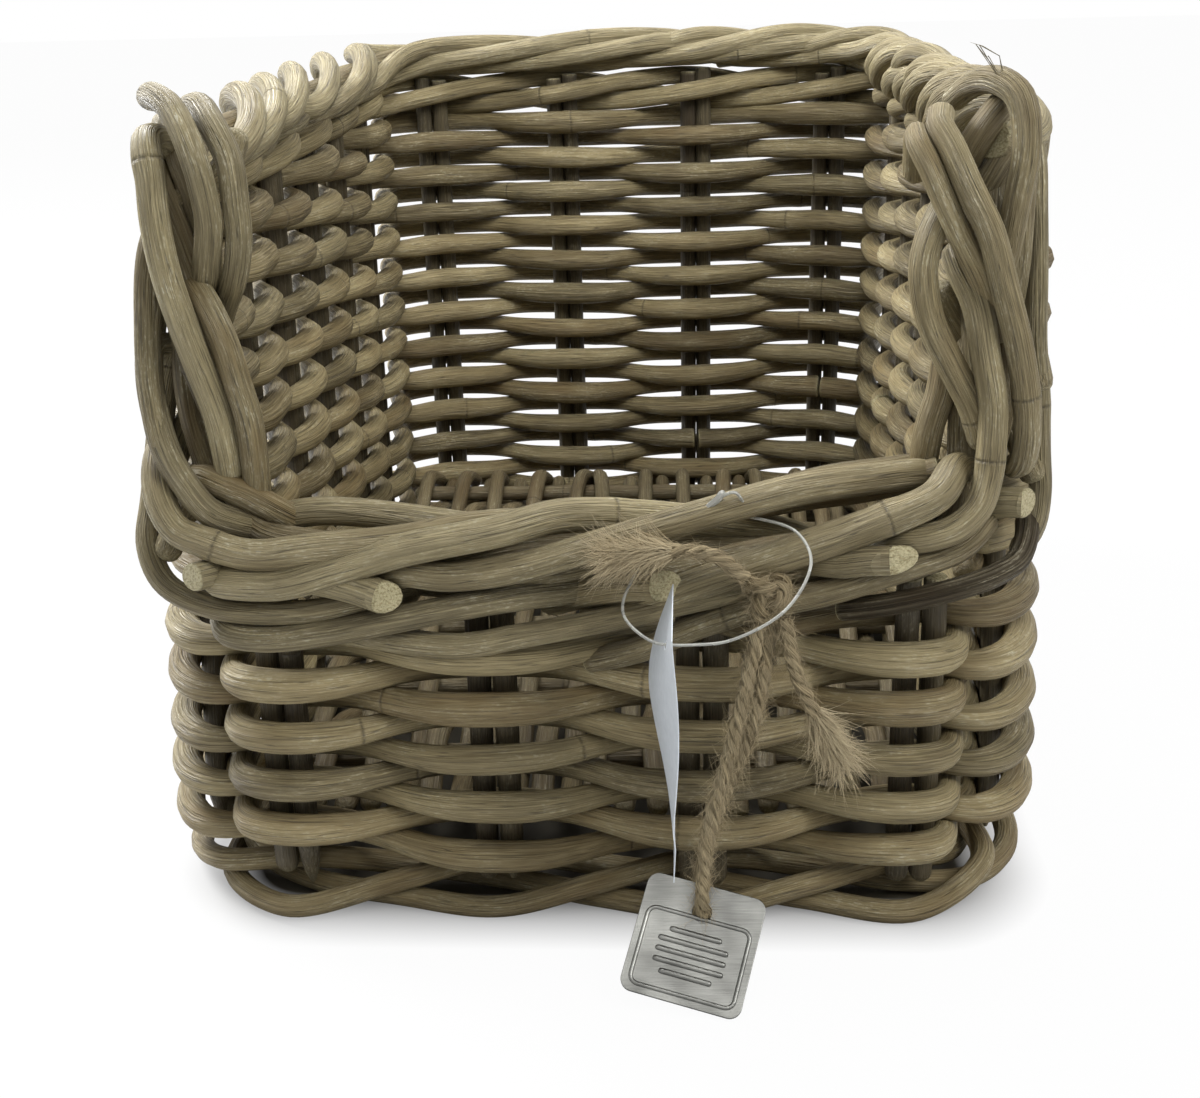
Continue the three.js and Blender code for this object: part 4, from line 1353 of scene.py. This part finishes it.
# %% Base
base_level = 34.7 * MM
base_swing = 8.4 * MM
base_pitch = 10.5 * MM
base_run_count = 24
first_run = -117.8 * MM
leaning_runs = {8: 4.5 * MM, 10: -5 * MM}
stick_half = 125 * MM
stick_places = []
for number in range(1, 7):
    low_corner, high_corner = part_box(f"base_stick_{number}")
    stick_places.append(float((low_corner[1] + high_corner[1]) / 2))
stick_places.sort()
sticks = new_bundle()
for place in stick_places:
    line = []
    for x in np.linspace(-stick_half, stick_half, 40):
        line.append((x, place + cane.uniform(-0.4, 0.4) * MM, base_level))
    add_rod(sticks, np.array(line), 4.4 * MM, ends=("rounded", "rounded"), warmth=0.3,
            tint=cane.uniform(0.3, 0.6))
bundle_object(sticks, "base_sticks", base_cane, "box",
              [f"base_stick_{number}" for number in range(1, 7)])
print("base sticks:", len(stick_places))

# %% Rods that run front to back over and under the sticks
for group in range(3):
    runs = new_bundle()
    for run in range(group, base_run_count, 3):
        middle = first_run + run * base_pitch
        end_shift = leaning_runs.get(run, cane.uniform(-1.5, 1.5) * MM)
        points = [(middle + cane.uniform(-2, 2) * MM, -188 * MM, cane.uniform(28, 30) * MM)]
        for index, place in enumerate(stick_places):
            over = 1 if (run + index) % 2 == 1 else -1
            drift = cane.uniform(-1.4, 1.4) * MM
            if index == len(stick_places) - 1:
                drift = end_shift
            points.append((middle + drift, place, base_level + over * base_swing))
        points.append((middle + 1.6 * end_shift, 174 * MM, base_level + (3 if run % 2 == 0 else -6) * MM))
        points.append((middle + 2 * end_shift, 190 * MM, cane.uniform(29, 31) * MM))
        add_rod(runs, smooth_line(points, 3.5 * MM), 4.1 * MM, ends=("rounded", "rounded"),
                warmth=0.2 + 0.2 * cane.uniform(), tint=cane.uniform(0.3, 0.9))
    bundle_object(runs, f"base_runs_{group + 1}", base_cane, "box",
                  [f"base_weaver_{group + 1}"])
print("base runs:", base_run_count)

# %% [markdown]
# The border is the most striking part. Thick rods are turned round each other along the rim, each one
# starting inside, passing over the outside on a long slant and tucking in again further on. They all slant
# the same way. A few end in a plain sloping cut at the front. One rope formula can't give the blunt bends at
# the corners, so the rods of the front and the two front edges are laid one by one, in millimetres. This cell
# holds the helper and the left edge.

# %% Laying border rods one by one


def lay_rods(bundle, rods, slant=None, ends=("cut", "cut")):
    """Listed rods: each entry is its points and radius in millimetres, its tint and its warmth."""
    for points, radius, tint, warmth in rods:
        line = smooth_line(np.array(points, float) * MM, 2.6 * MM)
        tone = np.clip(tint + cane.uniform(-0.25, 0.2), 0, 1)
        browner = warmth + cane.choice([0, 0.1, 0.4])
        add_rod(bundle, line, radius * MM, sides=16, ends=ends, tint=tone, warmth=browner, wander=0.045,
                slant=slant)


low_left_rods = [
    ([(-133, -168, 258), (-136, -181, 272), (-138, -190, 274), (-137, -196, 271), (-135, -201, 262),
      (-134, -205, 251), (-132, -207, 235), (-128, -208, 218), (-124, -208, 203), (-121, -206, 188),
      (-120, -204, 173), (-121, -200, 163), (-124, -193, 154)], 4.6, 0.75, 0.0),
    ([(-144, -165, 284), (-137, -182, 286), (-128, -194, 283), (-121, -203, 273), (-118, -205, 262),
      (-117, -205, 250), (-120, -201, 238), (-124, -195, 228), (-132, -188, 215), (-141, -186, 201),
      (-152, -190, 153), (-152, -200, 140), (-145, -208, 129), (-128, -212, 122), (-98, -214, 121),
      (-78, -212, 124), (-59, -204, 125)], 4.5, 0.6, 0.05),
    ([(-132, -166, 280), (-123, -180, 282), (-116, -192, 277), (-110, -199, 267), (-109, -201, 256),
      (-109, -201, 245), (-112, -198, 233), (-118, -192, 222), (-128, -184, 207), (-139, -184, 205),
      (-144, -194, 208), (-144, -200, 199), (-142, -204, 186), (-138, -208, 174), (-132, -211, 164),
      (-126, -211, 156), (-119, -207, 151), (-112, -199, 146), (-107, -190, 140)], 4.5, 0.6, 0.05),
    ([(-130, -190, 230), (-127, -196, 229), (-121, -203, 223), (-116, -206, 212), (-113, -207, 199),
      (-111, -206, 187), (-111, -204, 173), (-112, -201, 160), (-114, -195, 149)], 4.5, 0.45, 0.1),
    ([(-112, -178, 275), (-118, -182, 262), (-130, -184, 255), (-138, -196, 243), (-143, -199, 214),
      (-143, -203, 192), (-139, -207, 173), (-130, -205, 156), (-120, -198, 148)], 4.5, 0.55, 0.05),
    ([(-139, -190, 156), (-135, -197, 162), (-129, -202, 165), (-123, -204, 163), (-114, -204, 159),
      (-106, -200, 152), (-102, -192, 146)], 5.0, 0.3, 0.2),
    ([(-145, -188, 174), (-145, -198, 171), (-144, -206, 165), (-141, -212, 158), (-136, -215, 151),
      (-128, -217, 148), (-112, -217, 143), (-89, -217, 145), (-62, -215, 147), (-40, -208, 149),
      (-18, -200, 147), (5, -191, 139), (30, -193, 127)], 5.2, 0.65, 0.0),
    ([(-122, -186, 262), (-131, -180, 248), (-142, -184, 228), (-147, -190, 205)], 4.6, 0.5, 0.1),
    ([(-122, -188, 236), (-131, -180, 220), (-142, -182, 200), (-148, -190, 176)], 4.6, 0.45, 0.1),
    ([(-122, -190, 208), (-131, -182, 192), (-142, -184, 172), (-149, -194, 150)], 4.6, 0.6, 0.1),
    ([(-118, -192, 182), (-128, -190, 168), (-140, -196, 150), (-146, -204, 136)], 4.6, 0.6, 0.1),
]
left_edge = new_bundle()
lay_rods(left_edge, low_left_rods, ends=("rounded", "rounded"))
print("rods at the left edge:", len(low_left_rods))

# %% [markdown]
# Along the low front most rods tuck in at both ends. Five end outside, in a cut that faces the viewer. The
# slant is the way that such a cut looks, and the further it leans forward, the longer the oval of the cut
# becomes. The thin rod at the right corner still has its bark, so it is an object of its own.

# %% Border rods along the low front
front_rods = [
    ([(-123, -196, 138), (-112, -195, 146), (-96, -195, 150), (-79, -196, 150), (-55, -199, 148),
      (-34, -203, 146)], 5.2, 0.6, 0.0),
    ([(-120, -192, 126), (-126, -204, 130), (-123, -216, 133), (-103, -218, 133), (-82, -219, 139),
      (-62, -219, 145), (-29, -217, 151), (-10, -211, 154), (16, -204, 151), (42, -198, 146),
      (66, -190, 139), (92, -193, 128)], 5.4, 0.75, 0.0),
    ([(-84, -200, 124), (-64, -213, 135), (-46, -217, 135), (-23, -219, 139), (4, -219, 147),
      (36, -217, 156), (65, -211, 162), (88, -204, 163), (113, -196, 162), (130, -186, 150)], 5.4, 0.7, 0.0),
    ([(-2, -202, 116), (16, -214, 124), (36, -218, 133), (68, -219, 145), (93, -218, 154),
      (111, -214, 161), (118, -205, 167), (124, -195, 163)], 5.4, 0.6, 0.05),
    ([(46, -196, 150), (69, -195, 154), (89, -196, 157), (103, -198, 161), (114, -199, 165)], 4.8, 0.3, 0.1),
    ([(56, -190, 153), (79, -189, 159), (102, -189, 162), (114, -189, 164)], 4.4, 0.25, 0.1),
    ([(-128, -205, 115), (-124, -213, 113), (-111, -216, 112), (-88, -217, 115), (-64, -217, 120),
      (-30, -215, 126), (-8, -210, 127), (16, -200, 125)], 4.6, 0.5, 0.05),
    ([(-88, -205, 110), (-65, -213, 110), (-44, -217, 110), (-24, -218, 114), (3, -217, 119),
      (36, -217, 127), (59, -211, 130), (79, -202, 129)], 4.4, 0.55, 0.05),
    ([(-2, -205, 99), (16, -213, 107), (36, -216, 117), (55, -217, 124), (75, -218, 129),
      (100, -217, 137), (120, -211, 142), (130, -200, 148)], 4.6, 0.45, 0.1),
]
cut_rods = [
    ([(-67, -223, 130), (-79, -218, 132), (-98, -211, 133), (-113, -204, 132)], 5.5, 0.8, 0.0),
    ([(24, -223, 134), (14, -217, 132), (0, -210, 127), (-13, -203, 121)], 5.5, 0.7, 0.05),
]
long_cut_rods = [
    ([(98, -224, 143), (89, -222, 142), (81, -219, 140), (72, -214, 139), (66, -206, 136)], 4.6, 0.75, 0.05),
]
side_cut_rods = [
    ([(-131, -222, 137), (-128, -220, 137), (-124, -213, 136), (-120, -205, 135)], 4.6, 0.8, 0.0),
    ([(142, -204, 155), (137, -203, 155), (131, -197, 152), (125, -190, 148)], 5.2, 0.95, 0.05),
]
bark_rod = [
    ([(82, -210, 120), (95, -216, 124), (113, -218, 129), (130, -214, 133), (140, -206, 136),
      (144, -198, 142), (145, -192, 145)], 4.1, 0.2, 0.5),
]
low_front = new_bundle()
lay_rods(low_front, front_rods)
for rods, forward in ((cut_rods, 0.8), (long_cut_rods, 1.6), (side_cut_rods, 0.6)):
    lay_rods(low_front, rods, slant=(0, -forward, 0.1))
bark_bundle = new_bundle()
lay_rods(bark_bundle, bark_rod)
bundle_object(bark_bundle, "bark_rod", bark_cane, "box")
all_front_rods = front_rods + cut_rods + long_cut_rods + side_cut_rods + bark_rod
print("rods along the low front:", len(all_front_rods))

# %% [markdown]
# The right edge is laid in the same way as the left one. Two thin fibres have come loose there and stand up
# above the border, so they are added as very thin rods.

# %% Border rods at the right edge
right_rods = [
    ([(106, -166, 254), (104, -180, 268), (103, -190, 270), (103, -195, 268), (106, -199, 262),
      (111, -202, 251), (117, -203, 239), (122, -203, 230), (127, -200, 219),
      (132, -195, 207)], 4.1, 0.7, 0.0),
    ([(112, -166, 260), (110, -180, 274), (110, -190, 276), (109, -193, 274), (112, -199, 268),
      (118, -205, 255), (124, -208, 243), (129, -208, 227), (134, -208, 211), (138, -207, 194),
      (140, -205, 180), (140, -200, 168), (138, -192, 163)], 4.25, 0.7, 0.0),
    ([(119, -190, 260), (112, -195, 250), (107, -199, 241), (105, -201, 231), (108, -202, 215),
      (115, -203, 201), (123, -203, 186), (127, -203, 173)], 4.6, 0.6, 0.05),
    ([(117, -160, 277), (122, -174, 284), (127, -188, 286), (132, -196, 282), (134, -199, 274),
      (134, -201, 265), (133, -201, 257), (132, -199, 245), (131, -196, 233),
      (129, -190, 219)], 4.25, 0.6, 0.0),
    ([(138, -170, 273), (141, -178, 264), (142, -184, 245), (143, -187, 225), (144, -188, 205),
      (146, -188, 190), (148, -188, 168), (149, -190, 154), (147, -194, 143),
      (140, -200, 135)], 4.0, 0.45, 0.05),
    ([(116, -188, 236), (118, -196, 229), (122, -202, 220), (125, -206, 205), (128, -208, 189),
      (128, -210, 175), (127, -212, 165), (124, -215, 157), (117, -217, 151), (108, -217, 148),
      (99, -214, 146), (91, -208, 141)], 4.6, 0.65, 0.0),
    ([(116, -188, 202), (114, -192, 189), (111, -193, 178), (109, -193, 163),
      (108, -190, 155)], 4.6, 0.4, 0.1),
    ([(133, -178, 280), (127, -186, 276), (121, -188, 268), (117, -184, 257),
      (115, -178, 247)], 4.9, 0.45, 0.3),
    ([(132, -184, 265), (127, -189, 258), (123, -188, 249), (121, -184, 238)], 4.6, 0.35, 0.1),
    ([(122, -184, 244), (132, -178, 228), (142, -182, 208), (147, -190, 188)], 4.6, 0.3, 0.1),
    ([(112, -191, 224), (124, -182, 204), (138, -182, 180), (147, -192, 158)], 4.6, 0.3, 0.1),
]
right_edge = new_bundle()
lay_rods(right_edge, right_rods, ends=("rounded", "rounded"))
loose_fibres = [[(127, -192, 284), (127.5, -192, 291), (124, -192, 295), (117, -192, 297.5)],
                [(127, -192, 284), (125.5, -192, 290), (122.5, -192, 293.5)]]
for fibre_points in loose_fibres:
    fibre_line = smooth_line(np.array(fibre_points, float) * MM, 1 * MM)
    add_rod(right_edge, fibre_line, 0.16 * MM, sides=6, ends=("tapered", "tapered"), with_nodes=False,
            tint=0, wander=0)
print("rods at the right edge:", len(right_rods))

# %% [markdown]
# Between those rods the ones further in can be seen, dark and close together. They are hidden for most of
# their length, so four twisted rods that follow the middle of the border from edge to edge are enough.

# %% Inner rods of the front border
inner_count = 4
inner_step = 3 * MM
inner_lay = 170 * MM
inner_route = [(137, -168, 268), (134, -180, 258), (130, -189, 242), (129, -190, 212), (128, -190, 182),
               (124, -195, 158), (114, -200, 142), (98, -203, 136), (50, -204, 134)]
inner_route += [(-x, y, z) for x, y, z in reversed(inner_route)]
inner_middle = smooth_line(np.array(inner_route, float) * MM, inner_step)
inner_sides, inner_tops = ring_directions(inner_middle)[1:]
inner_travelled = np.arange(len(inner_middle)) * inner_step
for strand in range(inner_count):
    angle = strand * math.pi / 2 - inner_travelled / inner_lay * 2 * math.pi
    across = winding(angle, inner_sides, inner_tops)
    add_rod(low_front, inner_middle + across * 6.4 * MM, 4.5 * MM, tint=cane.uniform(0, 0.3), warmth=0.25)
print("inner rods:", inner_count)

# %% [markdown]
# Along the two sides and the back the border runs straight on, so here a rope of five rods is written as a
# formula. Each rod is a little more than one turn long. It rises out of the middle of the rope, goes round
# the outside and sinks back into the middle, where the next one takes its place. A plain rod along the middle
# of the rope fills what would show between them.

# %% Border round the high sides and back
border_radius = 5.0 * MM
border_depth = 10
back_thinner = 4.4
rim_start = front_run + 46 * MM
rim_stop = wall_round - rim_start
sink_reach = 34 * MM


def on_back(along):
    """0 on the sides, 1 on the back, and a soft step between them at the rear corners."""
    past_side = from_front(along) - front_run - corner_run - side_run
    share = np.clip((past_side + 20 * MM) / (corner_run + 20 * MM), 0, 1)
    return share * share * (3 - 2 * share)


def rim_middle(along):
    """How far out and how high the middle of the high border lies. The back is thinner, with the same top."""
    back = on_back(along)
    return -4 * MM * (1 - back), high_rim + 5.2 * MM * back


def rope_rod(bundle, start, stop, first_angle, lay):
    """One rod of the border rope from start to stop, sinking to the middle at both ends."""
    along = np.arange(start, stop, 2.6 * MM)
    travelled = along - start
    back = on_back(along)
    rise = np.clip(travelled / sink_reach, 0, 1)
    fall = np.clip((stop - along) / sink_reach, 0, 1)
    depth = 0.2 + 0.8 * np.minimum(np.sin(rise * math.pi / 2), np.sin(fall * math.pi / 2))
    angle = first_angle + 2 * math.pi * travelled / lay
    angle = angle + (0.75 - 0.45 * back) * np.sin(angle - math.pi / 2)
    depth = depth * cane.uniform(0.92, 1.08)
    bump = 1.2 * MM * np.sin(travelled * 17 + cane.uniform(0, 6))
    middle_out, middle_height = rim_middle(along)
    out = middle_out + depth * border_depth * MM * np.cos(angle)
    height = middle_height + depth * (border_depth - back_thinner * back) * MM * np.sin(angle) + bump
    add_rod(bundle, wall_place(along, out, height), border_radius * cane.uniform(0.94, 1.06), sides=14,
            tint=cane.uniform(0.45, 1), warmth=cane.uniform(0, 0.1), wander=0.035)


print("length of the high border:", round(rim_stop - rim_start, 3), "m")

# %% Rope rods one after another
rope_strands = 5
side_lay = 195 * MM
back_lay = 320 * MM
overlap = 30 * MM
high_border = new_bundle()
rope_rods = 0
for rope_strand in range(rope_strands):
    place = rim_start - cane.uniform(0, 14) * MM
    angle_now = rope_strand * math.pi * 0.4 + 0.4
    while place < rim_stop - 2 * overlap:
        lay = side_lay if on_back(place) < 0.5 else back_lay
        length = lay * cane.uniform(1.15, 1.5)
        if place + length > rim_stop - 70 * MM:
            length = rim_stop - place
        rope_rod(high_border, place, place + length, angle_now + cane.uniform(-0.15, 0.15), lay)
        rope_rods += 1
        travelled = length - overlap
        place += travelled
        angle_now += 2 * math.pi * travelled / lay
core = np.arange(rim_start, rim_stop, 4 * MM)
core_out, core_height = rim_middle(core)
add_rod(high_border, wall_place(core, core_out, core_height), 5.2 * MM, tint=0.1, warmth=0.3)
print("rods of the high border:", rope_rods)

# %% [markdown]
# A rod that ends outside pokes out from under the border beside a pair of stakes. The rear half of the high
# border isn't shown, so its cut ends are a guess. It gets five, one at every second pair. Each is a short rod
# that comes out of the rope and is cut square.

# %% Cut ends under the high border
cut_end_pairs = range(5, 15, 2)
cut_end_steps = np.array([(0, 15, -6), (-15, 11, -4), (-30, 6, -1), (-44, 1, 0)]) * MM
for pair in cut_end_pairs:
    place = stations[pair] - 12 * MM
    middle_out, middle_height = rim_middle(place)
    forward, outward, upward = cut_end_steps.T
    points = wall_place(place + forward, middle_out + outward, middle_height + upward)
    line = smooth_line(points, 2.6 * MM)
    add_rod(high_border, line, 5.6 * MM, sides=14, tint=cane.uniform(0.6, 0.9))
print("cut ends:", len(cut_end_pairs))

# %% [markdown]
# The border is now four bundles: the low front, the two front edges and the high rim. Each becomes one
# object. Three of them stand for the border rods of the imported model.

# %% Border objects
bundle_object(low_front, "front_border", border_cane, "box",
              ["border_rod_1", "border_rod_2"])
bundle_object(left_edge, "left_edge_border", border_cane, "box", ["border_rod_3"])
bundle_object(right_edge, "right_edge_border", border_cane, "box", ["border_rod_4"])
bundle_object(high_border, "high_border", border_cane, "box")
print("border objects: 4")

# %% [markdown]
# The room is plain: a pale floor, a white world that only the camera and reflections see, and soft lamps. The
# floor shines for the camera, but not under the box. There its colour is painted a near black brown and its
# glow is taken away: a painted shadow for the deep shade under the box. The painted shadow is a rectangle
# with round corners. For each point of the floor it asks how far the point lies outside that rectangle, and
# turns the distance into a soft edge.

# %% Floor
floor_half = 6
shade_half_sizes = (0.11, 0.176)
shade_edge = (0.022, 0.056)
floor_mesh = bpy.data.meshes.new("floor")
floor_corners = [(-floor_half, -floor_half, 0), (floor_half, -floor_half, 0), (floor_half, floor_half, 0),
                 (-floor_half, floor_half, 0)]
floor_mesh.from_pydata(floor_corners, [], [(0, 1, 2, 3)])
floor = new_object("floor", floor_mesh)
pale_floor, floor_tree, floor_shader = new_material("pale_floor")
floor_shader.inputs["Roughness"].default_value = 0.6
seen = add_node(floor_tree, "ShaderNodeLightPath")
white = add_node(floor_tree, "ShaderNodeEmission")
blend = add_node(floor_tree, "ShaderNodeMixShader")
floor_place = add_node(floor_tree, "ShaderNodeTexCoord")
floor_axes = add_node(floor_tree, "ShaderNodeSeparateXYZ")
join(floor_tree, floor_place.outputs["Object"], floor_axes.inputs[0])
squares = []
for floor_axis, half_size in enumerate(shade_half_sizes):
    from_centre = calculate(floor_tree, "ABSOLUTE", floor_axes.outputs[floor_axis])
    past_side = calculate(floor_tree, "SUBTRACT", from_centre, half_size)
    past_side = calculate(floor_tree, "MAXIMUM", past_side, 0.0)
    squares.append(calculate(floor_tree, "MULTIPLY", past_side, past_side))
distance = calculate(floor_tree, "POWER", calculate(floor_tree, "ADD", *squares), 0.5)
outside = spread(floor_tree, distance, *shade_edge)
# Painted shadow: inside the rectangle the floor's colour is a near black brown, outside it is pale.
shade = mix_colours(floor_tree, outside, (0.05, 0.043, 0.028, 1), (0.6, 0.6, 0.6, 1))
join(floor_tree, shade, floor_shader.inputs["Base Color"])
glow = calculate(floor_tree, "MULTIPLY", outside, 0.965)
seen_glow = calculate(floor_tree, "MULTIPLY", seen.outputs["Is Camera Ray"], glow)
join(floor_tree, seen_glow, blend.inputs[0])
join(floor_tree, floor_shader.outputs[0], blend.inputs[1])
join(floor_tree, white.outputs[0], blend.inputs[2])
join(floor_tree, blend.outputs[0], floor_tree.nodes["Material Output"].inputs["Surface"])
floor_mesh.materials.append(pale_floor)
print("material:", pale_floor.name)

# %% [markdown]
# The world is two backgrounds. The camera, mirrors and clear things see plain white. Everything else gets a
# dim, slightly cool light, so that the white never brightens the box.

# %% World
room = bpy.data.worlds.new("white_room")
bpy.context.scene.world = room
room.use_nodes = True
room_tree = room.node_tree
dim = room_tree.nodes["Background"]
dim.inputs["Color"].default_value = (0.95, 0.97, 1.0, 1)
dim.inputs["Strength"].default_value = 0.3
bright = add_node(room_tree, "ShaderNodeBackground")
bright.inputs["Strength"].default_value = 1.0
bright.inputs["Color"].default_value = (1, 1, 1, 1)
path = add_node(room_tree, "ShaderNodeLightPath")
shown = calculate(room_tree, "MAXIMUM", path.outputs["Is Camera Ray"], path.outputs["Is Glossy Ray"])
shown = calculate(room_tree, "MAXIMUM", shown, path.outputs["Is Transmission Ray"])
choose = add_node(room_tree, "ShaderNodeMixShader")
join(room_tree, shown, choose.inputs[0])
join(room_tree, dim.outputs[0], choose.inputs[1])
join(room_tree, bright.outputs[0], choose.inputs[2])
join(room_tree, choose.outputs[0], room_tree.nodes["World Output"].inputs["Surface"])
print("world:", room.name)

# %% [markdown]
# The lamps are large, because the photograph has no hard shadow, and weak, so that colours keep their value.
# Most light comes from the left and behind. A small lamp above the front looks down into the box, so that the
# weave of the inside can be read.

# %% Lamps


def soft_lamp(name, place, target, size, power):
    """A large area lamp that looks at a target."""
    data = bpy.data.lights.new(name, "AREA")
    data.shape = "DISK"
    data.size = size
    data.energy = power
    lamp = new_object(name, data)
    aim = Vector(target) - Vector(place)
    lamp.matrix_world = Matrix.Translation(place) @ aim.to_track_quat("-Z", "Y").to_matrix().to_4x4()
    return lamp


room_lamps = {"top_lamp": ((0.0, 0.15, 1.8), 18), "right_lamp": ((1.1, -0.8, 1.2), 18),
              "left_lamp": ((-1.25, 0.65, 1.2), 58), "front_lamp": ((0.1, -1.3, 1.6), 5)}
for lamp_name, (lamp_place, lamp_power) in room_lamps.items():
    soft_lamp(lamp_name, lamp_place, (0, 0, 0.15), 0.8, lamp_power)
inside_lamp = soft_lamp("inside_lamp", (0.0, -0.2, 0.58), (0, 0.22, 0.15), 0.3, 0.32)
inside_lamp.data.spread = math.radians(75)
print("lamps:", len(room_lamps) + 1)
